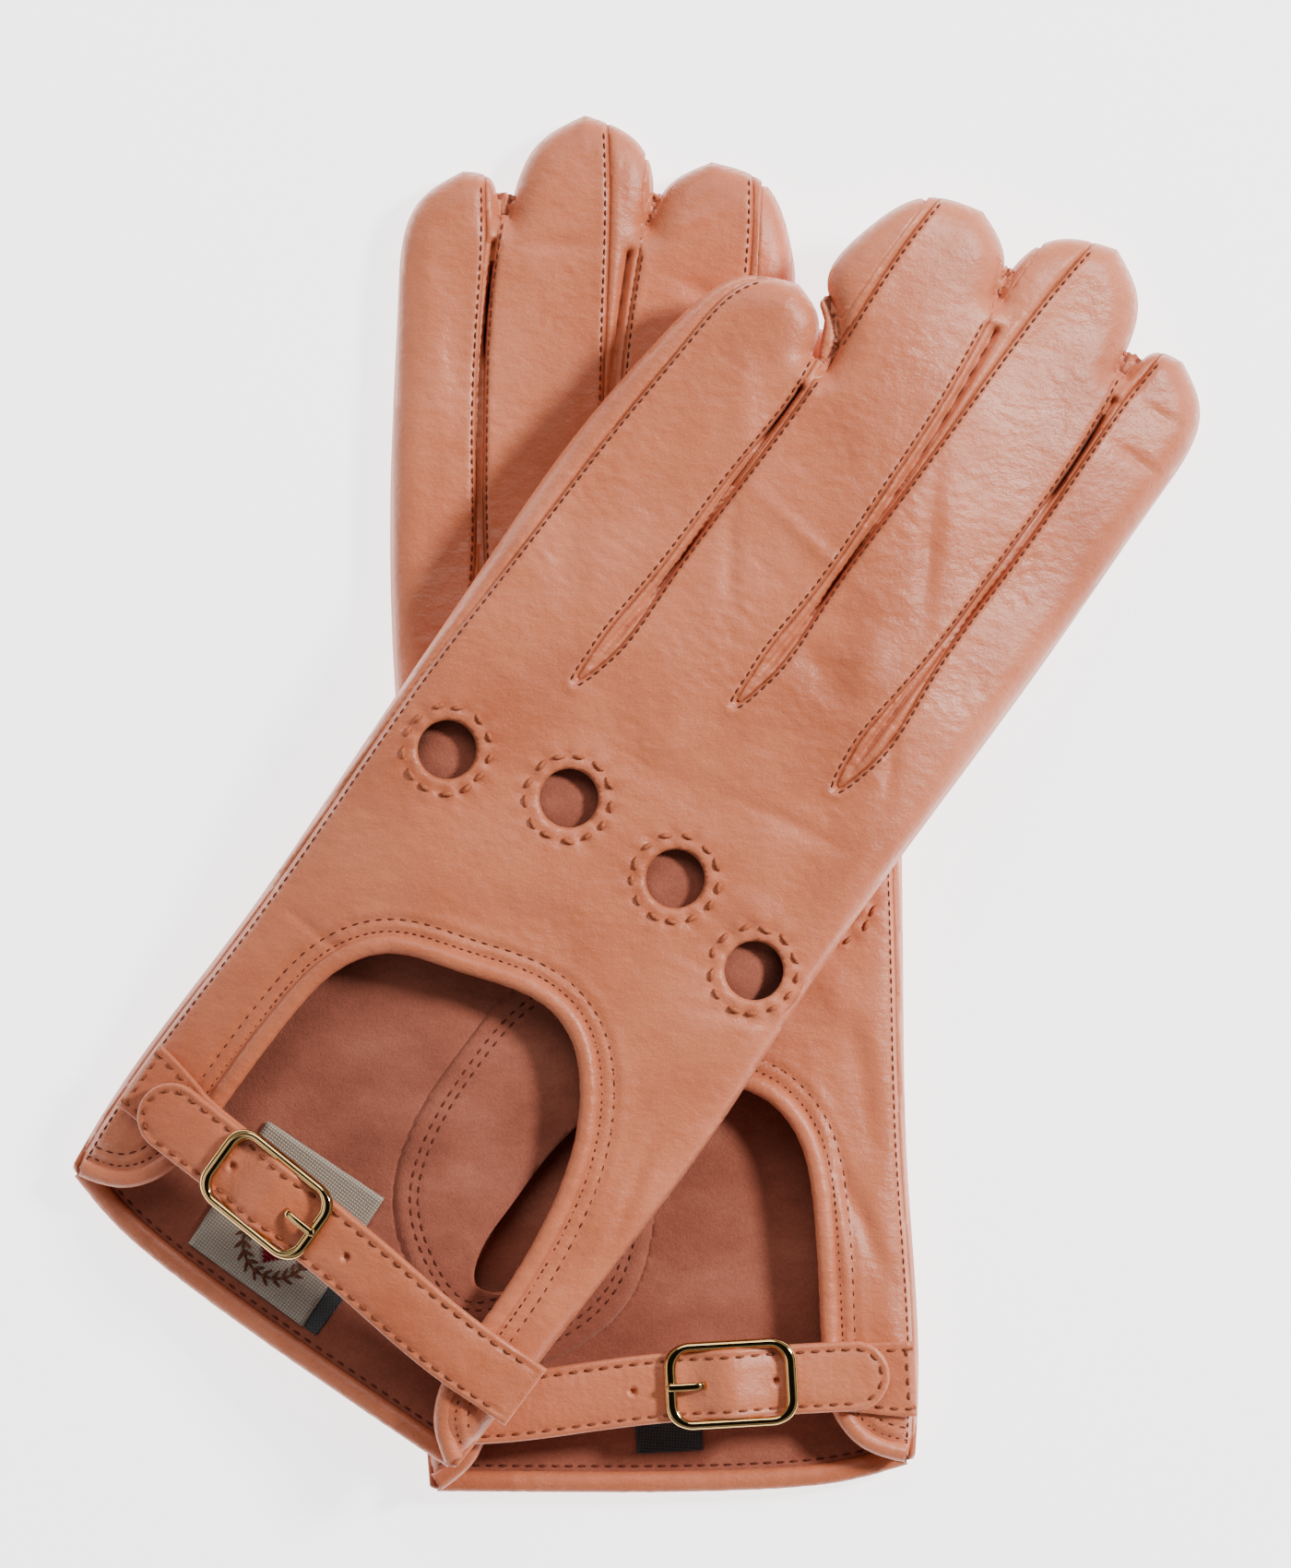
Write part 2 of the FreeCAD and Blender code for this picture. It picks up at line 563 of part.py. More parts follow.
def make_prong(hand):
    """The prong: an eye on the bar, and a shank up through the strap's slot to rest on the rim."""
    bar, rim, over = heights()
    outer = size("bar_radius") + size("bar_play") + size("eye_wall")
    rest = rim + size("rim_depth") / 2 + 0.02
    thick = size("prong_depth")
    foot = PRONG_SLOT - 0.9
    head = PRONG_SLOT + 0.75
    low = [(0.9, bar - 0.5), (foot, bar + 0.35), (head, rest - 0.05), (head + 0.6, rest), (10.8, rest)]
    high = [(10.8, rest + 0.55), (10.2, rest + thick), (head - 0.1, rest + thick), (foot - 0.6, bar + 1.15),
            (0.9, bar + 0.75)]
    points = [Vector(x, z, 0) for x, z in low + high]
    shank_lines = [Part.LineSegment(a, b) for a, b in zip(points, points[1:] + points[:1])]
    shank = padded(f"{hand}_shank", "XZ_Plane", shank_lines, "dims.prong_width", buckle_place(hand), midplane=True)
    eye = padded(f"{hand}_eye", "XZ_Plane", [
        Part.Circle(Vector(0, bar, 0), Vector(0, 0, 1), outer),
        Part.Circle(Vector(0, bar, 0), Vector(0, 0, 1), size("bar_radius") + size("bar_play")),
    ], "dims.eye_width", buckle_place(hand), midplane=True)
    rod = doc.addObject("Part::Cylinder", f"{hand}_eye_bore")
    rod.Radius = size("bar_radius") + size("bar_play")
    rod.Height = 6
    rod.Placement = buckle_place(hand).multiply(Placement(Vector(0, -3, bar), Rotation(Vector(1, 0, 0), -90)))
    solid = joined(f"{hand}_prong_blank", eye, shank)
    keep(boolean("Cut", f"{hand}_buckle_prong", solid, rod))


for glove in (RIGHT, LEFT):
    make_sheets(glove)
    make_fourchettes(glove)
    make_thumb(glove)
    make_labels(glove)
    make_strap(glove)
    make_tab(glove)
    make_buckle(glove)
    make_prong(glove)
doc.recompute()

for item in doc.Objects:
    if any(word in item.State for word in ("Invalid", "Error")):
        raise RuntimeError(f"{item.Label} failed: {item.State}")
os.makedirs("parts", exist_ok=True)
box = FreeCAD.BoundBox()
for piece in SUBPARTS:
    shape = piece.Shape
    if shape.isNull() or not shape.isValid() or not shape.Solids:
        raise RuntimeError(f"{piece.Label} has no valid solid")
    box.add(shape.BoundBox)
    print(f"{piece.Label}: {len(shape.Solids)} solids, {shape.Volume:.1f} mm3")
for piece in SUBPARTS:
    piece.Shape.exportStep(os.path.join("parts", f"{piece.Label}.step"))
print("box", [round(v, 3) for v in (box.XMin, box.XMax, box.YMin, box.YMax, box.ZMin, box.ZMax)])
for glove in (LEFT, RIGHT):
    frame = buckle_place(glove)
    bar_height = heights()[0]
    centre = frame.multVec(Vector(0, 0, bar_height))
    axis = frame.Rotation.multVec(Vector(0, 1, 0))
    print(glove, "bar", [round(v, 4) for v in centre], "axis", [round(v, 5) for v in axis])
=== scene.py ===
"""Looks of the pair of leather driving gloves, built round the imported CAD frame.

Lengths are millimetres in each glove's own plan, as in the CAD: u runs towards the index finger, v from
the cuff to the fingertips, h up from the palm's underside. to_world turns them into metres of the frame.
"""

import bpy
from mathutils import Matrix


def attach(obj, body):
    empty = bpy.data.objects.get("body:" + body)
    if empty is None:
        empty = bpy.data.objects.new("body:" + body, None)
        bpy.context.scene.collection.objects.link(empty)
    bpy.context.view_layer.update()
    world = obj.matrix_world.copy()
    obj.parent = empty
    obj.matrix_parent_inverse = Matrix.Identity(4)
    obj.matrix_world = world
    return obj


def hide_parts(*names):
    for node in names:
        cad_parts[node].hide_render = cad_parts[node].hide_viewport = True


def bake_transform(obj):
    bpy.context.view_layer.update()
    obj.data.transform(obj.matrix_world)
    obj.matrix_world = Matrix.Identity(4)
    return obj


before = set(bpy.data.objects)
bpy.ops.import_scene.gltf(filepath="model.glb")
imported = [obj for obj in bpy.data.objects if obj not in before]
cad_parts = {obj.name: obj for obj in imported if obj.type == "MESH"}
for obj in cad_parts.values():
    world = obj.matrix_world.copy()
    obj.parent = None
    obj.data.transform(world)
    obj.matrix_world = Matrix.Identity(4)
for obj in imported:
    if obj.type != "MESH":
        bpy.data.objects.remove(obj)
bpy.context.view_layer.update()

import math

import bpy
import numpy as np
from mathutils import Vector

LEFT, RIGHT = "left", "right"
HANDS = (RIGHT, LEFT)
MM = 0.001

# ---------------------------------------------------------------- the gloves' plan
LITTLE_SIDE = [(-41.0, 0.8), (-42.2, 12), (-42.5, 50), (-43.6, 80), (-45.6, 122), (-46.4, 148),
               (-44.8, 170), (-39.6, 185.6), (-32.0, 189.6)]
LITTLE_INNER = [(-32.0, 189.6), (-25.9, 187), (-22.9, 178), (-22.1, 160), (-21.7, 141), (-21.2, 121)]
RING_OUTER = [(-21.2, 121), (-20.8, 150), (-20.5, 176), (-21.9, 187.2), (-28.2, 192.4), (-28.6, 203),
              (-23.5, 213.9), (-15.0, 217.6)]
RING_INNER = [(-15.0, 217.6), (-8.0, 214.2), (-4.2, 204), (-1.8, 186), (-0.5, 160), (0.7, 131)]
MIDDLE_OUTER = [(0.7, 131), (0.4, 160), (-0.7, 186), (-3.0, 204.4), (-5.4, 213), (-3.0, 221), (6.5, 226.6)]
MIDDLE_INNER = [(6.5, 226.6), (14.2, 222.2), (18.3, 212), (20.8, 196), (21.9, 165), (22.5, 129.5)]
INDEX_OUTER = [(22.5, 129.5), (23.1, 165), (22.6, 196), (20.5, 212.4), (21.9, 217), (26.5, 218.5)]
INDEX_SIDE = [(26.5, 218.5), (33.2, 214.4), (36.7, 199), (37.7, 165), (37.8, 130), (38.5, 100), (40.4, 72),
              (40.4, 35), (39.6, 0.5)]
HEM = [(39.6, 0.5), (20, -1.3), (-16, -2.9), (-30, -2.2), (-41.0, 0.8)]
HEM_PATH = [(-39.4, 1.3), (-30, -0.7), (-16, -1.4), (20, 0.2), (38.4, 1.4)]
BINDING_PATH = [(-39.6, 2.0), (-33, 4.8), (-29.2, 10), (-28, 20), (-28, 44), (-25.6, 56.6), (-20.5, 63),
                (-10, 67.4), (0, 70.8), (6, 71.6), (12, 70.2), (19, 64.4), (25.2, 53.6), (28.8, 39),
                (30, 22), (30.8, 10.5), (33.6, 5.2), (38.4, 1.6)]
SIDE_SEAM = [(-40.2, 1.0), (-41.2, 12), (-41.4, 50), (-42.2, 80), (-42.8, 105), (-42.4, 130), (-42.1, 152),
             (-41.2, 172), (-39.2, 184), (-35.5, 189.2)]
# Each gap between two fingers: the seam on either side, the crease between, and where the tips part.
GAPS = {
    "fourchette_ring_little": {
        "little": [(-22.1, 115.3), (-23.0, 119), (-22.9, 135), (-22.5, 160), (-22.2, 176), (-23.4, 184)],
        "far": [(-22.1, 115.3), (-20.0, 120), (-19.3, 135), (-19.5, 165), (-20.4, 190), (-21.4, 206),
                (-21.2, 216)],
        "crease": [(-21.6, 119), (-20.6, 135), (-20.9, 155), (-21.4, 176)],
        "part": 181.0, "crotch": 115.3},
    "fourchette_middle_ring": {
        "little": [(1.0, 128.0), (0.0, 132), (-0.2, 150), (-0.9, 170), (-2.0, 188), (-4.0, 203)],
        "far": [(1.0, 128.0), (2.7, 132), (3.1, 150), (2.8, 170), (2.5, 200), (2.6, 214), (3.4, 225.6)],
        "crease": [(1.2, 131), (2.0, 145), (1.6, 165), (0.4, 186), (-1.6, 203)],
        "part": 207.0, "crotch": 128.0},
    "fourchette_index_middle": {
        "little": [(22.5, 126.8), (20.9, 131), (20.9, 145), (21.5, 175), (20.9, 198), (19.4, 210)],
        "far": [(22.5, 126.8), (24.5, 131), (24.5, 150), (24.0, 175), (23.4, 195), (23.0, 206),
                (23.4, 217.4)],
        "crease": [(22.6, 130), (22.6, 145), (22.9, 165), (22.2, 190), (21.0, 206)],
        "part": 210.0, "crotch": 126.8},
}
# The keystone and the thumb's mouth reach a little further than in the CAD.
KEYSTONE = [(14, 84), (1.2, 71), (-0.8, 57), (0.4, 42), (5, 30), (14, 22.5), (26, 20), (34, 30), (36, 50),
            (30, 70)]
THUMB = [(36, 44), (33.5, 66), (25.5, 92), (18.4, 108), (10.6, 113.6), (3.8, 108.6), (2.6, 96), (5.6, 76),
         (9.4, 56), (13.2, 36), (21.4, 22.8), (32.2, 25)]
THUMB_HOLE = [(24.4, 62), (21.0, 51), (21.0, 40), (21.6, 31), (24.6, 26.2), (29.0, 28.6), (31.0, 39),
              (30.4, 53)]
KNUCKLES = [(-32.2, 94.0), (-11.5, 99.6), (10.3, 99.5), (29.6, 95.2)]
KNUCKLE_RADIUS, KNUCKLE_RING = 4.8, 7.1
STRAP_LINE = [(-37.4, 18.8), (-24, 18.8), (-11.2, 18.8), (2, 18.5), (14, 17.6), (26, 16.8), (41.6, 17.2)]
BUCKLE_U, BUCKLE_V, RIGHT_STRAP_DROP = -11.2, 18.8, 3.1

PLACES = {LEFT: ((-61.5, -85.7), -36.87), RIGHT: ((5.4, -111.8), 3.3)}
LEFT_RISE = 16.8
LEFT_BENDS = ((-1.0, -28.0, 16.0, 0.28), (1.0, 36.0, 16.0, 0.324))
THUMB_DEPTH, FALL_START, FALL_END = 3.3, 116.0, 164.0
LEAN, LEAN_START, LEAN_SPAN = 5.0, 140.0, 80.0

TOP, EDGE, SKIN = 8.7, 4.4, 0.9
GRID = 0.62


def step(low, high, x):
    share = np.clip((x - low) / (high - low), 0.0, 1.0)
    return share * share * (3 - 2 * share)


def drape(hand, x, v):
    """The height of the palm's underside at world x, or at v along the right glove."""
    if hand == RIGHT:
        return THUMB_DEPTH * (1 - step(FALL_START, FALL_END, v))
    z = np.full(np.shape(x), LEFT_RISE)
    for way, level, bend, slope in LEFT_BENDS:
        past = np.maximum(0.0, way * (x - level))
        z = z - np.where(past > bend, slope * (past - bend / 2), slope * past**2 / (2 * bend))
    return z


def to_world(hand, u, v, h):
    """World points in metres, an array of shape (n, 3), from plan points and heights in millimetres."""
    u, v, h = (np.asarray(a, float) for a in (u, v, h))
    across = u if hand == LEFT else LEAN * np.maximum(0.0, (v - LEAN_START) / LEAN_SPAN) ** 1.5 - u
    (base_x, base_y), turn = PLACES[hand]
    c, s = math.cos(math.radians(turn)), math.sin(math.radians(turn))
    x = base_x + across * c - v * s
    y = base_y + across * s + v * c
    return np.stack([x, y, drape(hand, x, v) + h], -1) * MM


def smooth(points, spacing=0.8, closed=False):
    """A natural cubic spline through points, sampled evenly by its chord length."""
    p = np.array(points, float)
    if closed:
        p = np.vstack([p[-3:], p, p[:4]])
    h = np.linalg.norm(np.diff(p, axis=0), axis=1)
    t = np.concatenate([[0.0], np.cumsum(h)])
    n = len(p)
    system, right = np.eye(n), np.zeros_like(p)
    for i in range(1, n - 1):
        system[i, i - 1:i + 2] = h[i - 1], 2 * (h[i - 1] + h[i]), h[i]
        right[i] = 6 * ((p[i + 1] - p[i]) / h[i] - (p[i] - p[i - 1]) / h[i - 1])
    m = np.linalg.solve(system, right)
    start, end = (t[3], t[n - 4]) if closed else (t[0], t[-1])
    at = np.linspace(start, end, max(3, int((end - start) / spacing) + 1))
    i = np.clip(np.searchsorted(t, at) - 1, 0, n - 2)
    a, b, w = (t[i + 1] - at)[:, None], (at - t[i])[:, None], h[i][:, None]
    return (m[i] * a**3 + m[i + 1] * b**3) / (6 * w) + (p[i] / w - m[i] * w / 6) * a + (
        p[i + 1] / w - m[i + 1] * w / 6) * b


def distance(p, line):
    """The distance from each point to a polyline."""
    a, d = line[:-1], np.diff(line, axis=0)
    length2 = np.maximum((d**2).sum(1), 1e-12)
    out = np.empty(len(p))
    for i in range(0, len(p), 4096):
        q = p[i:i + 4096, None, :] - a[None]
        t = np.clip((q * d).sum(2) / length2, 0, 1)
        out[i:i + 4096] = np.sqrt(((q - t[..., None] * d) ** 2).sum(2).min(1))
    return out


def inside(p, ring):
    """Whether each point lies in a closed ring of points."""
    a, b = ring, np.roll(ring, -1, axis=0)
    out = np.zeros(len(p), bool)
    for i in range(0, len(p), 4096):
        x, y = p[i:i + 4096, 0][:, None], p[i:i + 4096, 1][:, None]
        spans = (a[:, 1] > y) != (b[:, 1] > y)
        with np.errstate(divide="ignore", invalid="ignore"):
            cross = (b[:, 0] - a[:, 0]) * (y - a[:, 1]) / (b[:, 1] - a[:, 1]) + a[:, 0]
        out[i:i + 4096] = (spans & (x < cross)).sum(1) % 2 == 1
    return out


def depth_in(p, ring):
    """How far each point lies inside a ring, negative outside it."""
    closed = np.vstack([ring, ring[:1]])
    return np.where(inside(p, ring), 1.0, -1.0) * distance(p, closed)


# ---------------------------------------------------------------- curves made from the plan
SIDES = {name: smooth(points) for name, points in {
    "little_side": LITTLE_SIDE, "little_inner": LITTLE_INNER,
    "ring_outer": RING_OUTER, "ring_inner": RING_INNER,
    "middle_outer": MIDDLE_OUTER, "middle_inner": MIDDLE_INNER, "index_outer": INDEX_OUTER,
    "index_side": INDEX_SIDE, "hem": HEM}.items()}
GAP_SIDES = {"fourchette_ring_little": ("little_inner", "ring_outer"),
             "fourchette_middle_ring": ("ring_inner", "middle_outer"),
             "fourchette_index_middle": ("middle_inner", "index_outer")}
for gap_name, (down, up) in GAP_SIDES.items():
    gap = GAPS[gap_name]
    gap["down"] = SIDES[down][SIDES[down][:, 1] > gap["part"]]
    gap["up"] = SIDES[up][SIDES[up][:, 1] > gap["part"]]
    for side_name, way in (("little", 0.7), ("far", -0.7)):
        line = smooth(gap[side_name])
        shift = way * step(0.0, 6.0, line[:, 1] - gap["crotch"])
        gap[f"{side_name}_line"] = line + np.stack([shift, 0 * shift], 1)
    gap["crease_line"] = smooth(gap["crease"])
    top = max(gap["down"][:, 1].max(), gap["up"][:, 1].max()) + 6
    gap["leaf"] = np.vstack([gap["little_line"], [[gap["little_line"][-1, 0] - 1, top]],
                             [[gap["far_line"][-1, 0], top]], gap["far_line"][::-1]])
# Leather low down where one fingertip lies over the next, so that no gap shows between them.
WEBS = {"fourchette_ring_little": [(-21.4, 176), (-22.2, 182), (-25.0, 187.4), (-27.2, 189.0), (-27.4, 191.0),
                                   (-24, 189.6), (-21.0, 187), (-19.6, 180)],
        "fourchette_middle_ring": [(-3.0, 203), (-5.2, 207.5), (-7.0, 211.6), (-6.6, 213.0), (-4.9, 212.4),
                                   (-2.8, 207), (-2.0, 203)],
        "fourchette_index_middle": [(20.4, 203), (18.6, 209), (17.6, 212.8), (19.0, 214.4), (21.0, 214.6),
                                    (21.6, 210), (22.0, 203)]}
for gap_name, points in WEBS.items():
    GAPS[gap_name]["web"] = np.array(points, float)
ORDER = list(GAPS.values())
OUTLINE = np.vstack([SIDES["little_side"], ORDER[0]["down"], ORDER[0]["up"], SIDES["ring_inner"][:1],
                     ORDER[1]["down"], ORDER[1]["up"], ORDER[2]["down"], ORDER[2]["up"], SIDES["index_side"],
                     SIDES["hem"]])
BINDING = smooth(BINDING_PATH, 0.6)
HEM_LINE = smooth(HEM_PATH, 0.6)
OPENING = np.vstack([BINDING, [[39, -12], [-40, -12]]])
SEAM = smooth(SIDE_SEAM)
SIDE_STRIP = np.vstack([SEAM, [[-36, 200], [-60, 200], [-60, -12], [-39.5, -12]]])
KEYSTONE_RING, HOLE_RING = smooth(KEYSTONE, closed=True), smooth(THUMB_HOLE, closed=True)
THUMB_RING = smooth(THUMB, closed=True)


# ---------------------------------------------------------------- relief
def noise(x, y, seed):
    """Smooth gradient noise, about -0.7 to 0.7."""
    angle = np.random.RandomState(seed).rand(64, 64) * 2 * math.pi
    xi, yi = np.floor(x).astype(int), np.floor(y).astype(int)
    xf, yf = x - xi, y - yi

    def corner(i, j):
        g = angle[(xi + i) % 64, (yi + j) % 64]
        return np.cos(g) * (xf - i) + np.sin(g) * (yf - j)

    sx, sy = xf**3 * (xf * (xf * 6 - 15) + 10), yf**3 * (yf * (yf * 6 - 15) + 10)
    low = corner(0, 0) * (1 - sx) + corner(1, 0) * sx
    high = corner(0, 1) * (1 - sx) + corner(1, 1) * sx
    return low * (1 - sy) + high * sy


def ridged(x, y, seed, width=0.16):
    """Thin creases, 1 in the crease and 0 away from it."""
    return np.clip(1 - np.abs(noise(x, y, seed)) / width, 0, 1) ** 2


def bump(u, v, at_u, at_v, size_u, size_v, turn=0.0):
    c, s = math.cos(math.radians(turn)), math.sin(math.radians(turn))
    du, dv = (u - at_u) * c + (v - at_v) * s, -(u - at_u) * s + (v - at_v) * c
    return np.exp(-(du / size_u) ** 2 - (dv / size_v) ** 2)


# Folds in each glove's back: centre, half length, half width, turn from u and height.
FOLDS = {
    LEFT: [(11, 168, 11, 1.5, -58, -0.5), (15, 147, 5, 3.5, -60, 0.5), (9, 141, 7, 2.6, -20, -0.4),
           (-27, 168, 9, 2.4, -50, 0.35), (-14, 147, 9, 1.4, -55, -0.3), (27, 136, 6, 1.0, -60, -0.4),
           (30, 200.5, 5, 0.9, 3, -0.4), (29, 209, 4, 0.8, 8, -0.25), (-6, 157, 10, 1.3, -6, 0.3),
           (33, 88, 7, 1.2, 25, -0.3), (36, 52, 12, 1.2, -74, -0.4), (-30, 57, 9, 1.0, 0, -0.3),
           (-34, 130, 8, 3.0, -50, -0.35), (20, 118, 9, 1.4, 12, -0.3), (24, 103, 5, 2.5, 10, 0.35),
           (-2, 112, 14, 3.5, 10, -0.35), (-16, 86, 14, 4.0, 70, 0.3)],
    RIGHT: [(-30, 45, 16, 1.6, 84, 0.7), (-34, 42, 10, 1.6, 70, -0.6), (-36, 62, 14, 2.0, 84, -0.4),
            (-33, 78, 10, 3.0, 60, 0.3), (-26, 176, 8, 2.0, -50, 0.4), (-14, 196, 6, 1.5, 30, -0.35),
            (-10, 186, 7, 1.5, -40, 0.3), (10, 205, 7, 1.3, 5, -0.3), (30, 190, 16, 2.2, 85, 0.25),
            (8, 175, 12, 3.0, 80, 0.3), (-13, 208, 5, 1.2, -20, 0.3), (-20, 168, 9, 1.2, -60, -0.3)],
}


def wrinkles(hand, u, v):
    """The soft unevenness and fine creases of worn leather, in millimetres."""
    seed = 11 if hand == LEFT else 57
    warp = 1.6 * noise(u / 14, v / 14, seed + 1)
    h = 0.8 * noise(u / 24, v / 30, seed) + 0.42 * noise(u / 10, v / 13, seed + 2)
    patch = step(-0.05, 0.35, noise(u / 16, v / 18, seed + 3))
    joints = sum(share * np.exp(-((v - at) / reach) ** 2)
                 for at, reach, share in ((137, 13, 1.0), (172, 8, 0.7), (112, 8, 0.5)))
    fine = ridged(u / 9, (v + warp) / 2.3, seed + 4) * (0.25 * patch + 0.5 * np.clip(joints, 0, 1))
    slant = ridged((u + v) / 7, (v - 0.6 * u + warp) / 3.2, seed + 5) * patch
    h = h - 0.26 * fine - 0.17 * slant + 0.05 * noise(u / 1.7, v / 1.5, seed + 6)
    for at_u, at_v, long, wide, turn, height in FOLDS[hand]:
        h = h + 1.5 * height * bump(u, v, at_u, at_v, long, wide, turn)
    return h


def roll(d, radius):
    return np.sqrt(np.clip(1 - (1 - np.clip(d / radius, 0, 1)) ** 2, 0, 1))


def outside_by(p):
    """How far each point lies outside the glove's outline, 0 inside it."""
    return np.where(inside(p, OUTLINE), 0.0, outline_distance(p))


def edge_drop(p, depth, side_radius=5.5, slit_share=0.32, slit_radius=3.0):
    """How far the skin has turned down towards the gloves' sides and between the fingers."""
    side = np.minimum(distance(p, SIDES["little_side"]), distance(p, SIDES["index_side"]))
    for gap in GAPS.values():
        side = np.minimum(side, np.minimum(distance(p, gap["down"]), distance(p, gap["up"])))
    total = (depth * (1 - roll(np.where(outside_by(p) > 0.3, 0.0, side), side_radius))) ** 3
    for gap in GAPS.values():
        near = step(gap["crotch"] - 4, gap["crotch"] + 40, p[:, 1])
        turned = 1 - roll(distance(p, gap["crease_line"]), slit_radius)
        total = total + (depth * slit_share * near * turned) ** 3
    return np.minimum(total ** (1 / 3), depth)


def seam_relief(p, line, deep=0.42, width=0.42):
    d = distance(p, line)
    return -deep * np.exp(-(d / width) ** 2) + 0.14 * np.exp(-((d - 1.2) / 0.7) ** 2)


def top_height(hand, p):
    """The height of the glove's upper skin."""
    u, v = p[:, 0], p[:, 1]
    drop = edge_drop(p, TOP - EDGE)
    calm = step(0.0, 4.0, outline_distance(p)) ** 0.5
    h = TOP - drop + wrinkles(hand, u, v) * calm
    for gap in GAPS.values():
        h = h + seam_relief(p, gap["little_line"]) + seam_relief(p, gap["far_line"])
        crease = distance(p, gap["crease_line"])
        h = h - 1.7 * np.exp(-(crease / 0.55) ** 2) * step(gap["crotch"], gap["crotch"] + 12, v)
    h = h + seam_relief(p, SEAM, 0.35, 0.5)
    rim = distance(p, BINDING)
    h = h - 0.3 * np.exp(-((rim - 2.1) / 0.3) ** 2) - 0.32 * np.exp(-((rim - 4.1) / 0.4) ** 2)
    h = h + 0.2 * np.exp(-((rim - 3.1) / 0.7) ** 2) + 0.15 * np.exp(-((rim - 5.4) / 0.9) ** 2)
    for cu, cv in KNUCKLES:
        r = np.hypot(u - cu, v - cv)
        angle = np.arctan2(v - cv, u - cu)
        pucker = 0.2 * np.sin(angle * 13) * np.exp(-((r - KNUCKLE_RING) / 1.7) ** 2)
        h = h + pucker - 0.16 * np.exp(-((r - KNUCKLE_RING) / 0.6) ** 2)
        h = h + 0.10 * np.exp(-((r - 5.9) / 0.8) ** 2)
        h = h - 0.3 * np.exp(-np.clip(r - KNUCKLE_RADIUS, 0, 9) / 0.35)
    return h - 2.6 * step(9.0, 0.0, v) + 0.9 * step(0.3, 1.2, outside_by(p))


def under_height(hand, p):
    """The height of the palm's outer skin, arched up so that the lining shows behind the knuckle holes."""
    seed = 101 if hand == LEFT else 131
    rim = outline_distance(p)
    arch = sum(bump(p[:, 0], p[:, 1], cu, cv - 1, 11.5, 10.5) for cu, cv in KNUCKLES)
    h = edge_drop(p, EDGE, 5.0, 0.1) + 4.6 * np.minimum(arch, 1.0) * step(2.0, 9.0, rim)
    h = h + 0.2 * noise(p[:, 0] / 16, p[:, 1] / 16, seed) * step(2.0, 12.0, rim)
    return h + 0.17 * step(0.0, 4.0, rim) - 1.1 * step(0.3, 1.2, outside_by(p))


def outline_distance(p):
    return distance(p, OUTLINE)


# ---------------------------------------------------------------- meshes
def make_mesh(name, verts, faces, material_index=None):
    mesh = bpy.data.meshes.new(name)
    mesh.from_pydata([tuple(q) for q in verts], [], [tuple(int(i) for i in f) for f in faces])
    mesh.polygons.foreach_set("use_smooth", [True] * len(mesh.polygons))
    if material_index is not None:
        mesh.polygons.foreach_set("material_index", [int(i) for i in material_index])
    mesh.update()
    made = bpy.data.objects.new(name, mesh)
    bpy.context.scene.collection.objects.link(made)
    return made


def region_net(measure, low, high, spacing):
    """Grid points and square cells of a region, its edge points moved onto the edge."""
    us = np.arange(low[0], high[0] + spacing, spacing)
    vs = np.arange(low[1], high[1] + spacing, spacing)
    grid = np.stack(np.meshgrid(us, vs, indexing="ij"), -1)
    p = grid.reshape(-1, 2)
    s = measure(p).reshape(len(us), len(vs))
    keep = (s[:-1, :-1] + s[1:, :-1] + s[:-1, 1:] + s[1:, 1:]) > 0
    index = np.arange(len(p)).reshape(len(us), len(vs))
    quads = np.stack([index[:-1, :-1], index[1:, :-1], index[1:, 1:], index[:-1, 1:]], -1)[keep]
    used = np.unique(quads)
    share = np.zeros(len(p), int)
    np.add.at(share, quads.ravel(), 1)
    rim = used[share[used] < 4]
    tiny = 0.02
    for _ in range(4):
        q = p[rim]
        s0 = measure(q)
        gu = (measure(q + [tiny, 0]) - s0) / tiny
        gv = (measure(q + [0, tiny]) - s0) / tiny
        size2 = np.maximum(gu**2 + gv**2, 0.25)
        move = np.stack([gu, gv], 1) * (-s0 / size2)[:, None]
        far = np.linalg.norm(move, axis=1)
        move *= np.minimum(1.0, spacing / np.maximum(far, 1e-9))[:, None]
        p[rim] = q + move
    renumber = np.full(len(p), -1)
    renumber[used] = np.arange(len(used))
    return p[used], renumber[quads]


NETS = {}


def net(name, measure, low, high, spacing):
    """The same net serves both gloves, because one is the mirror image of the other."""
    if name not in NETS:
        NETS[name] = region_net(measure, low, high, spacing)
    return NETS[name]


def skin(hand, name, pieces, thickness=SKIN):
    """A leather skin of one or more nets, each with its height function and whether it faces up."""
    verts, faces, start = [], [], 0
    for (p, quads), height_of, faces_up in pieces:
        verts.append(to_world(hand, p[:, 0], p[:, 1], height_of(hand, p)))
        flip = (hand == RIGHT) == faces_up
        faces.append((quads[:, ::-1] if flip else quads) + start)
        start += len(p)
    made = make_mesh(f"{hand}_{name}", np.vstack(verts), np.vstack(faces))
    solid = made.modifiers.new("thickness", "SOLIDIFY")
    solid.thickness = thickness * MM
    solid.offset = -1.0
    solid.material_offset = 1
    solid.use_quality_normals = True
    return made


# ---------------------------------------------------------------- strap, tab and buckle places
BAR_HEIGHT, RIM_HEIGHT, OVER_BAR = 1.75, 3.82, 3.6
STRAP_LIFT, SEWN = 0.9, -0.82
LEFT_LEAN = math.atan(LEFT_BENDS[0][3])


def upward(hand, x):
    """The glove's upward direction at world x in millimetres."""
    if hand == RIGHT:
        return np.tile([0.0, 0.0, 1.0], (len(x), 1))
    reach = 0.05
    slope = (drape(hand, x + reach, x) - drape(hand, x - reach, x)) / (2 * reach)
    n = np.stack([-slope, np.zeros_like(slope), np.ones_like(slope)], 1)
    return n / np.linalg.norm(n, axis=1)[:, None]


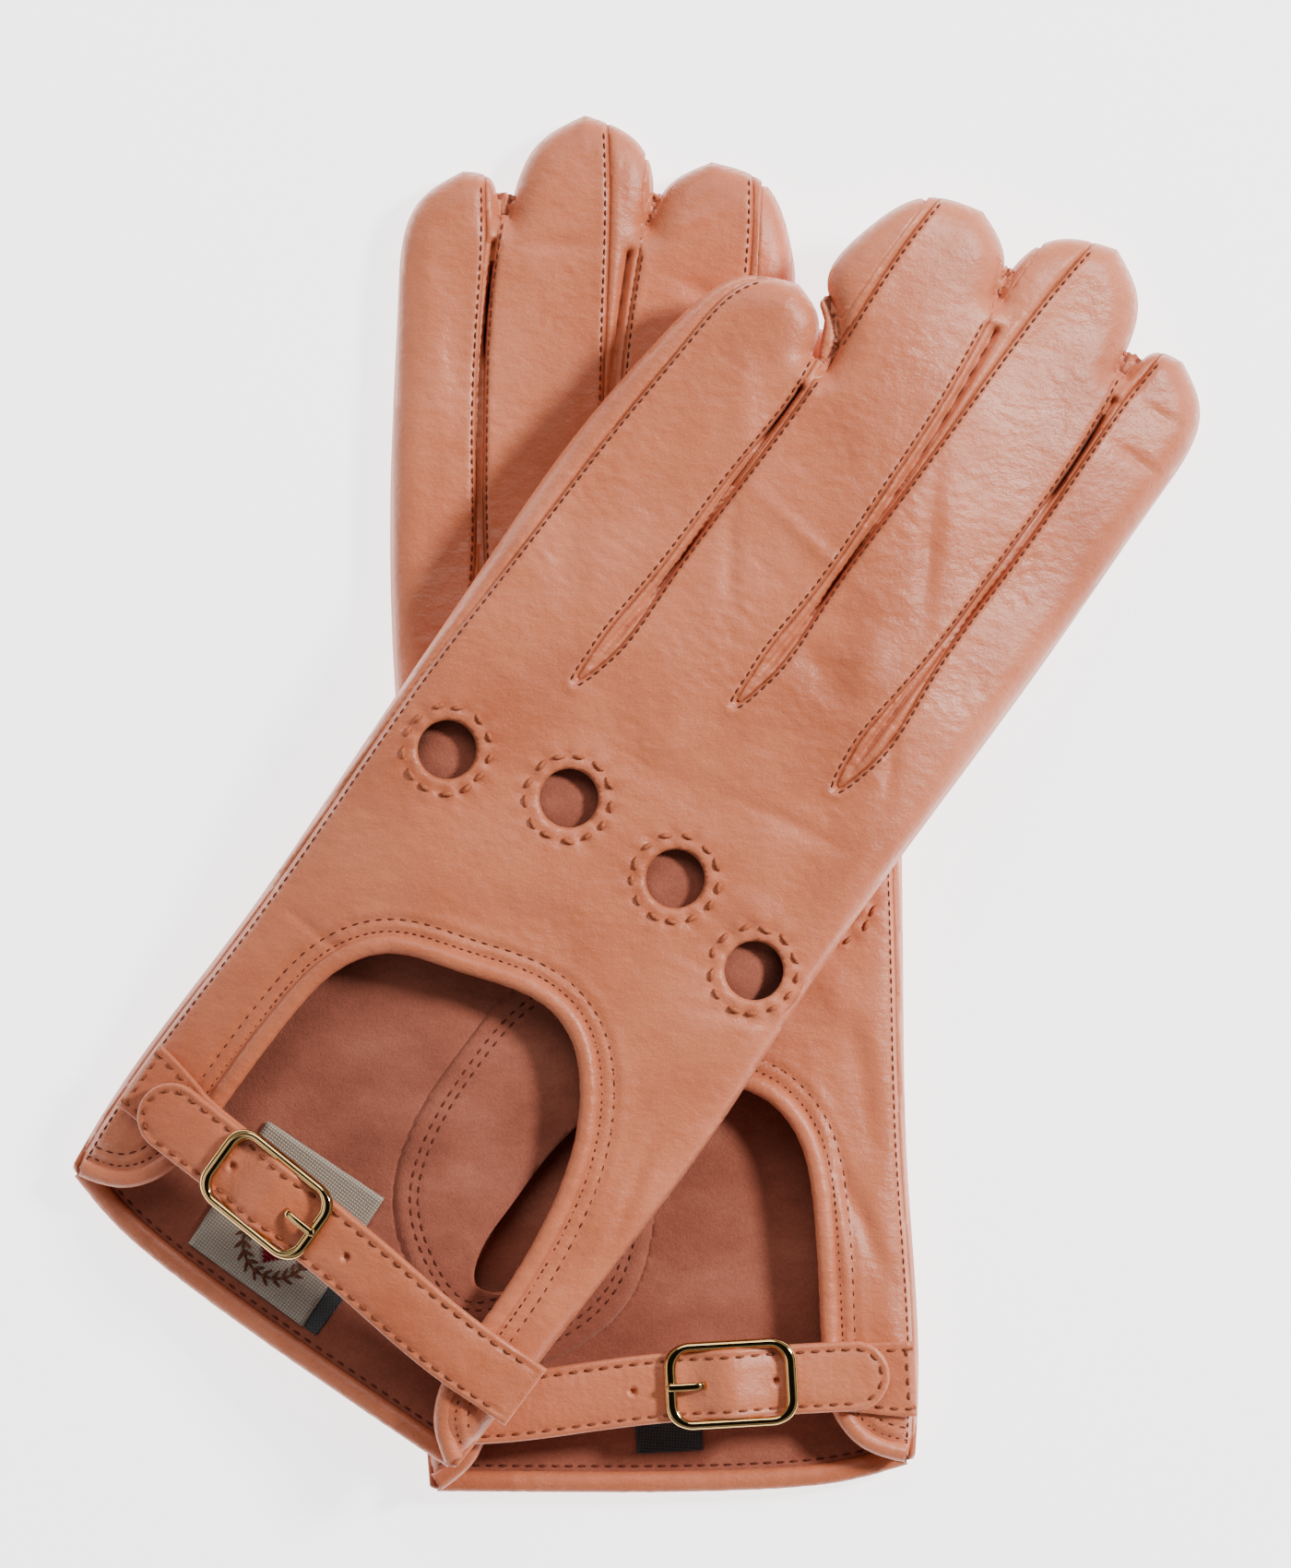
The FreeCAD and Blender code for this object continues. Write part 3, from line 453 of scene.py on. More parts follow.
def strap_middle(hand, u):
    line = smooth(STRAP_LINE, 0.5)
    return np.interp(u, line[:, 0], line[:, 1]) - (RIGHT_STRAP_DROP if hand == RIGHT else 0.0)


def strap_rise(along):
    """The strap's underside above the tab's, along from the buckle's bar."""
    knots = [(-60, 1.3), (-8.0, 1.3), (0, OVER_BAR), (8.0, 1.3), (26, 0.1), (43.5, 0.1), (48.5, SEWN),
             (80, SEWN)]
    out = np.full(np.shape(along), SEWN)
    for (a, low), (b, high) in reversed(list(zip(knots, knots[1:]))):
        out = np.where(along <= b, low + (high - low) * step(a, b, along), out)
    return out


def on_strap(hand, u, across, rise):
    """World points on the strap: u along the glove's plan, across it, and above its underside."""
    u, across, rise = (np.asarray(a, float) for a in (u, across, rise))
    ground = to_world(hand, u, strap_middle(hand, u) + across, np.full(len(u), 9.0))
    lift = (STRAP_LIFT + strap_rise(u - BUCKLE_U) + rise) * MM
    return ground + upward(hand, ground[:, 0] / MM) * lift[:, None]


def at_buckle(hand, points):
    """World points from the buckle's frame: x along the strap to the index side, z up from the tab's base."""
    v = np.array([BUCKLE_V - (RIGHT_STRAP_DROP if hand == RIGHT else 0.0)])
    ground = to_world(hand, np.array([BUCKLE_U]), v, np.array([9.0]))[0]
    n = upward(hand, np.array([ground[0] / MM]))[0]
    turn = math.radians(PLACES[hand][1] + (180 if hand == RIGHT else 0))
    lean = LEFT_LEAN if hand == LEFT else 0.0
    flat = np.array([[math.cos(turn), math.sin(turn), 0.0], [-math.sin(turn), math.cos(turn), 0.0]])
    lean_c, lean_s = math.cos(lean), math.sin(lean)
    tip = np.array([[lean_c, 0.0, lean_s], [0.0, 1.0, 0.0], [-lean_s, 0.0, lean_c]])
    axes = np.vstack([flat @ tip, n])
    points = np.asarray(points, float)
    return ground + n * (STRAP_LIFT * MM) + points @ axes * MM


# ---------------------------------------------------------------- more meshes
def loop_faces(rows, count, start=0):
    """Faces of a tube that closes on itself, its points from start."""
    faces = []
    for i in range(rows):
        for j in range(count):
            m, k = (i + 1) % rows, (j + 1) % count
            faces.append([q + start for q in (i * count + j, i * count + k, m * count + k, m * count + j)])
    return faces


def ring_faces(rows, count):
    """Faces of a tube whose rows have count points each, with a centre point for each cap after them."""
    faces = []
    for i in range(rows - 1):
        for j in range(count):
            k = (j + 1) % count
            faces.append((i * count + j, i * count + k, (i + 1) * count + k, (i + 1) * count + j))
    low, high = rows * count, rows * count + 1
    for j in range(count):
        k = (j + 1) % count
        faces.append((low, k, j))
        faces.append((high, (rows - 1) * count + j, (rows - 1) * count + k))
    return faces


def ellipse(half_wide, half_high, count=14, power=1.0):
    t = np.linspace(0, 2 * math.pi, count, endpoint=False)
    c, s = np.cos(t), np.sin(t)
    return np.stack([half_wide * np.sign(c) * np.abs(c) ** power,
                     half_high * np.sign(s) * np.abs(s) ** power], 1)


def tangents(line, closed=False):
    t = (np.roll(line, -1, 0) - np.roll(line, 1, 0)) if closed else np.gradient(line, axis=0)
    return t / np.maximum(np.linalg.norm(t, axis=1), 1e-9)[:, None]


def plan_tube(hand, name, line, h, sections):
    """A tube along a plan line; h is its middle's height, sections its (across, up) outline at each point."""
    t = tangents(line)
    side = np.stack([t[:, 1], -t[:, 0]], 1)
    count = sections.shape[1]
    flat = line[:, None] + side[:, None] * sections[..., :1]
    high = h[:, None] + sections[..., 1]
    ends = np.array([[*line[0], h[0]], [*line[-1], h[-1]]])
    pts = np.vstack([np.concatenate([flat, high[..., None]], -1).reshape(-1, 3), ends])
    faces = ring_faces(len(line), count)
    if hand == LEFT:
        faces = [f[::-1] for f in faces]
    return make_mesh(f"{hand}_{name}", to_world(hand, pts[:, 0], pts[:, 1], pts[:, 2]), faces)


def thread_mesh(name, rows, radius):
    """Short threads: rows is (n, k, 3) of world points, thinner at both ends."""
    count, k = 6, rows.shape[1]
    thin = np.sin(np.linspace(0.18, math.pi - 0.18, k)) ** 0.5
    along = np.gradient(rows, axis=1)
    along /= np.maximum(np.linalg.norm(along, axis=2), 1e-12)[..., None]
    side = np.cross(along, [0.0, 0.0, 1.0])
    side /= np.maximum(np.linalg.norm(side, axis=2), 1e-12)[..., None]
    up = np.cross(side, along)
    angle = np.linspace(0, 2 * math.pi, count, endpoint=False)
    c, s = (f(angle)[None, None, :, None] for f in (np.cos, np.sin))
    ring = side[:, :, None] * c + up[:, :, None] * s
    pts = rows[:, :, None] + ring * (radius * MM * thin)[None, :, None, None]
    verts, faces = [], []
    per = k * count + 2
    base = ring_faces(k, count)
    for i in range(len(rows)):
        verts.append(np.vstack([pts[i].reshape(-1, 3), rows[i, :1], rows[i, -1:]]))
        faces += [[q + i * per for q in f] for f in base]
    return make_mesh(name, np.vstack(verts), faces)


def along_line(line, pitch, start=0.5):
    """Points and directions spaced by pitch along a polyline."""
    gaps = np.linalg.norm(np.diff(line, axis=0), axis=1)
    total = np.concatenate([[0.0], np.cumsum(gaps)])
    s = np.arange(start * pitch, total[-1] - 0.3 * pitch, pitch)
    p = np.stack([np.interp(s, total, line[:, i]) for i in range(2)], 1)
    t = tangents(line)
    d = np.stack([np.interp(s, total, t[:, i]) for i in range(2)], 1)
    return p, d / np.linalg.norm(d, axis=1)[:, None]


def beside(line, offset):
    t = tangents(line)
    return line + np.stack([t[:, 1], -t[:, 0]], 1) * offset


def stitch_points(line, pitch, length):
    """Five points along each stitch of a line."""
    p, d = along_line(line, pitch)
    at = np.linspace(-0.5, 0.5, 5) * length
    return (p[:, None] + d[:, None] * at[None, :, None]).reshape(-1, 2)


def stitch_rows(hand, lines, pitch, length, radius, surface):
    """World rows of points for stitches that dip into a surface at both ends."""
    shape = np.array([-1.1, 0.35, 1.0, 0.35, -1.1]) * radius * 0.55
    rows = []
    for line in lines:
        pts = stitch_points(line, pitch, length)
        h = surface(hand, pts) + np.tile(shape, len(pts) // 5)
        rows.append(to_world(hand, pts[:, 0], pts[:, 1], h).reshape(-1, 5, 3))
    return np.vstack(rows)


# ---------------------------------------------------------------- materials
def new_material(name):
    material = bpy.data.materials.new(name)
    material.use_nodes = True
    tree = material.node_tree
    return material, tree, tree.nodes["Principled BSDF"]


def node(tree, kind, **values):
    made = tree.nodes.new(kind)
    for key, value in values.items():
        if key in made.inputs:
            made.inputs[key].default_value = value
        else:
            setattr(made, key, value)
    return made


def ramp(tree, source, stops):
    made = tree.nodes.new("ShaderNodeValToRGB")
    elements = made.color_ramp.elements
    while len(elements) < len(stops):
        elements.new(0.5)
    for element, (at, colour) in zip(elements, stops):
        element.position = at
        element.color = (*colour, 1.0)
    tree.links.new(source, made.inputs["Fac"])
    return made.outputs["Color"]


def texture_noise(tree, scale, detail=3.0, rough=0.55, stretch=None):
    coords = node(tree, "ShaderNodeTexCoord")
    vector = coords.outputs["Object"]
    if stretch:
        mapping = node(tree, "ShaderNodeMapping")
        mapping.inputs["Scale"].default_value = stretch
        mapping.inputs["Rotation"].default_value = (0, 0, 0.4)
        tree.links.new(vector, mapping.inputs["Vector"])
        vector = mapping.outputs["Vector"]
    made = node(tree, "ShaderNodeTexNoise", Scale=scale, Detail=detail, Roughness=rough)
    tree.links.new(vector, made.inputs["Vector"])
    return made.outputs["Fac"]


def cells(tree, scale, feature="DISTANCE_TO_EDGE"):
    coords = node(tree, "ShaderNodeTexCoord")
    made = tree.nodes.new("ShaderNodeTexVoronoi")
    made.feature = feature
    made.inputs["Scale"].default_value = scale
    tree.links.new(coords.outputs["Object"], made.inputs["Vector"])
    return made.outputs["Distance"]


def bump_chain(tree, shader, heights):
    """Bumps one after another: each height with its strength and its depth in metres."""
    last = None
    for source, strength, deep in heights:
        made = node(tree, "ShaderNodeBump", Strength=strength, Distance=deep)
        tree.links.new(source, made.inputs["Height"])
        if last:
            tree.links.new(last, made.inputs["Normal"])
        last = made.outputs["Normal"]
    tree.links.new(last, shader.inputs["Normal"])


def multiply(tree, colour, shade, share, shader):
    """The shader's colour: one colour darkened by another."""
    mix = tree.nodes.new("ShaderNodeMix")
    mix.data_type = "RGBA"
    mix.blend_type = "MULTIPLY"
    mix.inputs[0].default_value = share
    tree.links.new(colour, mix.inputs[6])
    tree.links.new(shade, mix.inputs[7])
    tree.links.new(mix.outputs[2], shader.inputs["Base Color"])


def leather_material():
    material, tree, shader = new_material("blush_nappa")
    tone = texture_noise(tree, 38.0, 4.0)
    colour = ramp(tree, tone, [(0.30, (0.46, 0.118, 0.050)), (0.50, (0.56, 0.158, 0.072)),
                               (0.72, (0.64, 0.200, 0.100))])
    grain = cells(tree, 1500.0)
    pores = ramp(tree, grain, [(0.0, (0.80, 0.80, 0.80)), (0.12, (1.0, 1.0, 1.0))])
    multiply(tree, colour, pores, 0.5, shader)
    gloss = ramp(tree, texture_noise(tree, 90.0, 3.0), [(0.3, (0.36, 0.36, 0.36)), (0.7, (0.50, 0.50, 0.50))])
    tree.links.new(gloss, shader.inputs["Roughness"])
    shader.inputs["Specular IOR Level"].default_value = 0.4
    shader.inputs["Sheen Weight"].default_value = 0.02
    shader.inputs["Sheen Roughness"].default_value = 0.4
    shader.inputs["Coat Weight"].default_value = 0.05
    shader.inputs["Coat Roughness"].default_value = 0.35
    bump_chain(tree, shader, [
        (texture_noise(tree, 230.0, 5.0, 0.62, (1.0, 1.5, 1.0)), 0.45, 0.0008),
        (texture_noise(tree, 700.0, 3.0), 0.28, 0.0004),
        (grain, 0.16, 0.0002)])
    return material


def suede_material():
    material, tree, shader = new_material("suede_side")
    tone = texture_noise(tree, 55.0, 6.0, 0.65, (1.0, 1.6, 1.0))
    colour = ramp(tree, tone, [(0.28, (0.21, 0.056, 0.033)), (0.52, (0.30, 0.086, 0.052)),
                               (0.75, (0.39, 0.125, 0.078))])
    fibre = texture_noise(tree, 2600.0, 2.0, 0.7)
    dust = ramp(tree, fibre, [(0.35, (0.86, 0.86, 0.86)), (0.68, (1.08, 1.08, 1.08))])
    multiply(tree, colour, dust, 1.0, shader)
    shader.inputs["Roughness"].default_value = 0.92
    shader.inputs["Specular IOR Level"].default_value = 0.15
    shader.inputs["Sheen Weight"].default_value = 0.35
    shader.inputs["Sheen Roughness"].default_value = 0.6
    shader.inputs["Sheen Tint"].default_value = (0.9, 0.5, 0.38, 1.0)
    bump_chain(tree, shader, [(texture_noise(tree, 420.0, 5.0, 0.7), 0.4, 0.0005), (fibre, 0.5, 0.00025)])
    return material


def gold_material():
    material, tree, shader = new_material("pale_gold")
    shader.inputs["Metallic"].default_value = 1.0
    colour = ramp(tree, texture_noise(tree, 300.0, 3.0), [
        (0.35, (0.52, 0.32, 0.12)), (0.7, (0.64, 0.42, 0.18))])
    tree.links.new(colour, shader.inputs["Base Color"])
    gloss = ramp(tree, texture_noise(tree, 900.0, 4.0), [
        (0.4, (0.05, 0.05, 0.05)), (0.75, (0.13, 0.13, 0.13))])
    tree.links.new(gloss, shader.inputs["Roughness"])
    bump_chain(tree, shader, [(texture_noise(tree, 1800.0, 2.0), 0.03, 0.00005)])
    return material


def thread_material(name, dark, light):
    material, tree, shader = new_material(name)
    colour = ramp(tree, texture_noise(tree, 2200.0, 3.0), [(0.35, dark), (0.7, light)])
    tree.links.new(colour, shader.inputs["Base Color"])
    shader.inputs["Roughness"].default_value = 0.85
    shader.inputs["Specular IOR Level"].default_value = 0.15
    coords = node(tree, "ShaderNodeTexCoord")
    twist = node(tree, "ShaderNodeTexWave", Scale=1500.0, Distortion=1.0)
    twist.bands_direction = "DIAGONAL"
    tree.links.new(coords.outputs["Object"], twist.inputs["Vector"])
    bump_chain(tree, shader, [(twist.outputs["Fac"], 0.4, 0.0002)])
    return material


def woven_material(name, dark, light, turn):
    material, tree, shader = new_material(name)
    coords = node(tree, "ShaderNodeTexCoord")
    mapping = node(tree, "ShaderNodeMapping")
    mapping.inputs["Rotation"].default_value = (0, 0, math.radians(turn))
    tree.links.new(coords.outputs["Object"], mapping.inputs["Vector"])
    waves = []
    for direction in ("X", "Y"):
        wave = node(tree, "ShaderNodeTexWave", Scale=620.0, Distortion=0.4)
        wave.bands_direction = direction
        tree.links.new(mapping.outputs["Vector"], wave.inputs["Vector"])
        waves.append(wave.outputs["Fac"])
    both = node(tree, "ShaderNodeMath", operation="MULTIPLY")
    tree.links.new(waves[0], both.inputs[0])
    tree.links.new(waves[1], both.inputs[1])
    colour = ramp(tree, both.outputs["Value"], [(0.05, dark), (0.6, light)])
    tree.links.new(colour, shader.inputs["Base Color"])
    shader.inputs["Roughness"].default_value = 0.48
    shader.inputs["Sheen Weight"].default_value = 0.25
    bump_chain(tree, shader, [(both.outputs["Value"], 0.5, 0.0002)])
    return material


LEATHER = leather_material()
SUEDE = suede_material()
GOLD = gold_material()
SEAM_THREAD = thread_material("seam_thread", (0.085, 0.020, 0.011), (0.17, 0.046, 0.026))
STRAP_THREAD = thread_material("strap_thread", (0.18, 0.048, 0.022), (0.32, 0.094, 0.046))
HAND_THREAD = thread_material("hand_thread", (0.36, 0.098, 0.042), (0.52, 0.160, 0.075))
PALE_LABEL = woven_material("woven_beige", (0.22, 0.175, 0.135), (0.46, 0.39, 0.31), 36.87)
DARK_LABEL = woven_material("woven_black", (0.008, 0.008, 0.009), (0.035, 0.034, 0.036), 3.3)
ORNAMENT = thread_material("ornament_brown", (0.10, 0.035, 0.020), (0.19, 0.075, 0.045))
ORNAMENT_RED = thread_material("ornament_red", (0.12, 0.004, 0.010), (0.24, 0.012, 0.022))

# ---------------------------------------------------------------- regions of leather
LOW, HIGH = (-48.0, -4.0), (42.0, 229.0)


def back_measure(p):
    parts = [depth_in(p, OUTLINE), -depth_in(p, SIDE_STRIP), -depth_in(p, OPENING)]
    parts += [-depth_in(p, gap["leaf"]) for gap in ORDER]
    parts += [np.hypot(p[:, 0] - cu, p[:, 1] - cv) - KNUCKLE_RADIUS for cu, cv in KNUCKLES]
    return np.min(parts, axis=0)


def wrap_measure(p):
    return np.minimum(depth_in(p, OUTLINE), depth_in(p, SIDE_STRIP))


def palm_measure(p):
    parts = [depth_in(p, OUTLINE), -depth_in(p, KEYSTONE_RING)] + [-depth_in(p, gap["leaf"]) for gap in ORDER]
    return np.min(parts, axis=0)


def leaf_measure(gap):
    """The strip between two fingers, with the web that closes the gap at their tips."""
    def measure(p):
        leaf = np.minimum(depth_in(p, OUTLINE), depth_in(p, gap["leaf"]))
        return np.maximum(leaf, depth_in(p, gap["web"]))

    return measure


def keystone_measure(p):
    return np.minimum(depth_in(p, KEYSTONE_RING), -depth_in(p, HOLE_RING))


def thumb_top_measure(p):
    return np.minimum(depth_in(p, THUMB_RING), -depth_in(p, HOLE_RING))


def keystone_height(hand, p):
    inward = depth_in(p, KEYSTONE_RING)
    h = 0.17 + 0.8 * roll(inward, 1.6)
    for at, deep in ((2.4, 0.22), (3.7, 0.22)):
        h = h - deep * np.exp(-((inward - at) / 0.4) ** 2)
    return h + 0.35 * noise(p[:, 0] / 9, p[:, 1] / 11, 77) * step(2.0, 8.0, inward)


def thumb_top(hand, p):
    return -0.15 - 1.4 * (1 - roll(depth_in(p, THUMB_RING), 4.0))


def thumb_under(hand, p):
    return -3.15 + 1.5 * (1 - roll(depth_in(p, THUMB_RING), 4.0))


def inner_palm(hand, p):
    return under_height(hand, p) + SKIN


def dress(made, hand, body, slot, materials, *nodes):
    """Gives a piece its materials and its body, and hides the CAD nodes it stands for; the slot argument is
    not used.
    """
    for material in materials:
        made.data.materials.append(material)
    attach(made, f"{hand}_{body}")
    if nodes:
        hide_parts(*[f"{hand}_{each}" for each in nodes])
    return made


def make_skins(hand):
    both = [LEATHER, SUEDE]
    back = net("back", back_measure, LOW, HIGH, GRID)
    wrap = net("wrap", wrap_measure, (-48.0, -4.0), (-34.0, 192.0), GRID)
    palm = net("palm", palm_measure, LOW, HIGH, GRID * 1.3)
    dress(skin(hand, "back_leather", [(back, top_height, True)]),
          hand, "glove", "leather", both, "back_panel")
    dress(skin(hand, "palm_leather", [(wrap, top_height, True), (palm, under_height, False)]),
          hand, "glove", "leather", both, "palm_panel")
    for name, gap in GAPS.items():
        low = (min(gap["leaf"][:, 0].min(), gap["web"][:, 0].min()) - 1, gap["crotch"] - 1)
        high = (gap["leaf"][:, 0].max() + 1, 229.0)
        leaf = net(name, leaf_measure(gap), low, high, GRID * 0.75)
        dress(skin(hand, f"{name}_leather", [(leaf, top_height, True), (leaf, under_height, False)], 0.8),
              hand, "glove", "leather", both, name)
    keystone = net("keystone", keystone_measure, (-3.0, 17.0), (39.0, 89.0), GRID)
    dress(skin(hand, "keystone_leather", [(keystone, keystone_height, False)]),
          hand, "glove", "leather", both, "thumb_keystone")
    top = net("thumb_top", thumb_top_measure, (1.0, 19.0), (38.0, 116.0), GRID * 1.4)
    under = net("thumb_under", lambda p: depth_in(p, THUMB_RING), (1.0, 19.0), (38.0, 116.0), GRID * 1.4)
    dress(skin(hand, "thumb_leather", [(top, thumb_top, True), (under, thumb_under, False)], 0.6),
          hand, "glove", "leather", both, "thumb")


def make_facings(hand):
    """The rings of leather behind the knuckle holes, glued to the back's underside."""
    rows, count = [4.95, 5.3, 6.0, 6.9, 7.8, 8.5], 56
    angle = np.linspace(0, 2 * math.pi, count, endpoint=False)
    verts, faces, start = [], [], 0
    for cu, cv in KNUCKLES:
        height = top_height(hand, np.stack([cu + 6.3 * np.cos(angle), cv + 6.3 * np.sin(angle)], 1)) - 1.15
        for radius in rows:
            verts.append(to_world(hand, cu + radius * np.cos(angle), cv + radius * np.sin(angle), height))
        for i in range(len(rows) - 1):
            for j in range(count):
                k = (j + 1) % count
                quad = (i * count + j, (i + 1) * count + j, (i + 1) * count + k, i * count + k)
                faces.append([q + start for q in (quad if hand == LEFT else quad[::-1])])
        start += len(rows) * count
    made = make_mesh(f"{hand}_knuckle_lining", np.vstack(verts), faces)
    solid = made.modifiers.new("thickness", "SOLIDIFY")
    solid.thickness, solid.offset, solid.material_offset = 0.5 * MM, -1.0, 1
    dress(made, hand, "glove", "leather", [LEATHER, SUEDE], "knuckle_facings")


def piping_sections(line, half_wide, half_high, seed, pucker):
    """An oval section at each point, gathered here and there like bias-cut leather."""
    s = np.concatenate([[0.0], np.cumsum(np.linalg.norm(np.diff(line, axis=0), axis=1))])
    gather = 1 + pucker * (noise(s / 1.5, s * 0 + seed, seed) + 0.7 * noise(s / 5, s * 0 + 2, seed + 1))
    return ellipse(half_wide, half_high, 16)[None] * gather[:, None, None]


def make_piping(hand):
    outward = beside(BINDING, -1.4)
    h = top_height(hand, outward) - 0.3
    width = 15
    padded_h = np.pad(h, width, mode="edge")
    h = np.convolve(padded_h, np.ones(2 * width + 1) / (2 * width + 1), mode="valid")
    made = plan_tube(hand, "opening_piping", BINDING, h, piping_sections(BINDING, 1.55, 1.35, 3, 0.06))
    dress(made, hand, "glove", "leather", [LEATHER], "opening_binding")
    h = np.full(len(HEM_LINE), 1.25)
    made = plan_tube(hand, "cuff_piping", HEM_LINE, h, piping_sections(HEM_LINE, 1.75, 1.2, 9, 0.05))
    dress(made, hand, "glove", "leather", [LEATHER], "cuff_binding")


# ---------------------------------------------------------------- stitches
def within(lines, low=0.6):
    """The parts of lines that lie inside the glove's outline."""
    out = []
    for line in lines:
        ok = depth_in(line, OUTLINE) > low
        cuts = np.flatnonzero(np.diff(ok.astype(int))) + 1
        parts = zip(np.split(line, cuts), [ok[0], *ok[cuts]])
        out += [part for part, good in parts if good and len(part) > 5]
    return out


def knuckle_stitches(hand):
    """Short thick hand stitches round the knuckle holes, each a little out of line."""
    random = np.random.RandomState(21 if hand == LEFT else 22)
    shape = np.array([-0.45, 0.22, 0.34, 0.22, -0.45])
    rows = []
    for cu, cv in KNUCKLES:
        for i in range(13):
            mid = 2 * math.pi * (i + random.uniform(-0.12, 0.12)) / 13
            turn = mid + math.pi / 2 + random.uniform(-0.35, 0.35)
            at = np.linspace(-0.5, 0.5, 5) * random.uniform(1.9, 2.5)
            radius = KNUCKLE_RING + random.uniform(-0.2, 0.2)
            pts = np.stack([cu + radius * math.cos(mid) + at * math.cos(turn),
                            cv + radius * math.sin(mid) + at * math.sin(turn)], 1)
            level = np.full(5, top_height(hand, pts[2:3])[0] + 0.1)
            rows.append(to_world(hand, pts[:, 0], pts[:, 1], level + shape))
    return np.array(rows)


def make_stitches(hand):
    fingers = []
    for gap in GAPS.values():
        fingers += [beside(gap["little_line"], -0.7), beside(gap["far_line"], 0.7)]
    seams = stitch_rows(hand, within([beside(SEAM, 0.75)] + fingers), 1.6, 1.15, 0.17, top_height)
    edge = stitch_rows(hand, within([beside(BINDING, -2.1)], 0.9), 1.35, 1.0, 0.17, top_height)
    second = stitch_rows(hand, within([beside(BINDING, -4.1)], 0.9), 2.0, 1.5, 0.18, top_height)
    made = thread_mesh(f"{hand}_seam_stitches", np.vstack([seams, edge, second]), 0.17)
    dress(made, hand, "glove", "leather", [SEAM_THREAD])
    hem = stitch_rows(hand, [HEM_LINE + [0, 2.6]], 2.2, 1.6, 0.2, inner_palm)
    ring = np.vstack([KEYSTONE_RING, KEYSTONE_RING[:1]])
    inner = lambda side, p: keystone_height(side, p) + SKIN
    rows = stitch_rows(hand, [beside(ring, -2.4)[2:-2], beside(ring, -3.7)[2:-2]], 2.1, 1.5, 0.2, inner)
    made = thread_mesh(f"{hand}_lining_stitches", np.vstack([hem, rows]), 0.2)
    dress(made, hand, "glove", "leather", [SEAM_THREAD])
    made = thread_mesh(f"{hand}_knuckle_stitches", knuckle_stitches(hand), 0.42)
    dress(made, hand, "glove", "leather", [HAND_THREAD])


# ---------------------------------------------------------------- strap, tab, buckle and prong
STRAP_START, STRAP_END, STRAP_HALF, STRAP_THICK = -37.4, 41.6, 5.75, 1.45
HOLES = (-18.7, 5.0)
STITCH_INSET, STRAP_THREAD_RADIUS = 1.3, 0.24


def strap_top(hand, u, a, edge):
    """The height of the strap's upper face over its underside: rolled edge, stitch groove and soft middle."""
    h = STRAP_THICK - 0.6 * (1 - roll(edge, 0.7)) - 0.16 * np.exp(-((edge - 1.3) / 0.38) ** 2)
    h = h + 0.16 * step(1.4, 3.6, edge)
    seed = 31 if hand == LEFT else 41
    h = h + (0.07 * noise(u / 5, a / 3, seed) - 0.06 * ridged(u / 2.0, a / 9, seed + 1)) * step(0, 2, edge)
    for hole in HOLES:
        r = np.hypot(u - hole, a)
        h = h + 0.12 * np.exp(-((r - 1.0) / 0.35) ** 2) - 1.25 * np.exp(-(r / 0.62) ** 4)
    return h


def make_strap(hand):
    r = STRAP_HALF
    nose = STRAP_START + r * (1 - np.cos(np.linspace(0.12, math.pi / 2, 16)))
    us = np.concatenate([nose[:-1], np.arange(nose[-1], STRAP_END, 0.36), [STRAP_END - 0.12, STRAP_END]])
    wide = r * roll(us - STRAP_START, r)
    wide[-1] -= 0.15
    share = np.sin(np.linspace(-math.pi / 2, math.pi / 2, 36))
    a = wide[:, None] * share[None]
    u = np.repeat(us[:, None], 36, 1)
    edge = np.minimum(wide[:, None] - np.abs(a), np.minimum((u - STRAP_START), (STRAP_END - u)))
    nose_edge = np.minimum(edge, r - np.hypot(u - STRAP_START - r, a))
    edge = np.where(u < STRAP_START + r, nose_edge, edge)
    edge = np.clip(edge, 0, 9)
    top = strap_top(hand, u, a, edge)
    low = 0.28 * (1 - roll(edge, 0.5))
    pu = np.concatenate([u, u[:, ::-1]], 1)
    pa = np.concatenate([a, a[:, ::-1]], 1)
    ph = np.concatenate([top, low[:, ::-1]], 1)
    count = pu.shape[1]
    mid = np.array([[us[0] - 0.05, 0.0, 0.7], [us[-1], 0.0, 0.7]])
    pts = np.vstack([np.stack([pu, pa, ph], -1).reshape(-1, 3), mid])
    faces = ring_faces(len(us), count)
    if hand == LEFT:
        faces = [f[::-1] for f in faces]
    made = make_mesh(f"{hand}_strap_leather", on_strap(hand, pts[:, 0], pts[:, 1], pts[:, 2]), faces)
    made.data.materials.append(LEATHER)
    straight = np.arange(STRAP_START + r, STRAP_END - 1.5, 0.25)
    lines = [np.stack([straight, np.full(len(straight), way * (r - STITCH_INSET))], 1) for way in (-1, 1)]
    turn = np.linspace(math.pi / 2, 3 * math.pi / 2, 40)
    nose_r = r - STITCH_INSET
    lines.append(np.stack([STRAP_START + r + nose_r * np.cos(turn), nose_r * np.sin(turn)], 1))
    rows = []
    shape = np.array([-0.3, 0.14, 0.2, 0.14, -0.3])
    for line in lines:
        pts = stitch_points(line, 2.5, 1.65)
        level = np.full(len(pts), STRAP_THICK - 0.1) + np.tile(shape, len(pts) // 5)
        rows.append(on_strap(hand, pts[:, 0], pts[:, 1], level).reshape(-1, 5, 3))
    stitches = thread_mesh(f"{hand}_strap_stitches", np.vstack(rows), STRAP_THREAD_RADIUS)
    stitches.data.materials.append(STRAP_THREAD)
    start, end = on_strap(hand, np.array([38.0, 31.0]), np.zeros(2), np.zeros(2))
    for piece in (made, stitches):
        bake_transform(piece)
    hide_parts(f"{hand}_strap")


TAB_FLAT_ROWS, TAB_GAP_ROWS = 51, 18


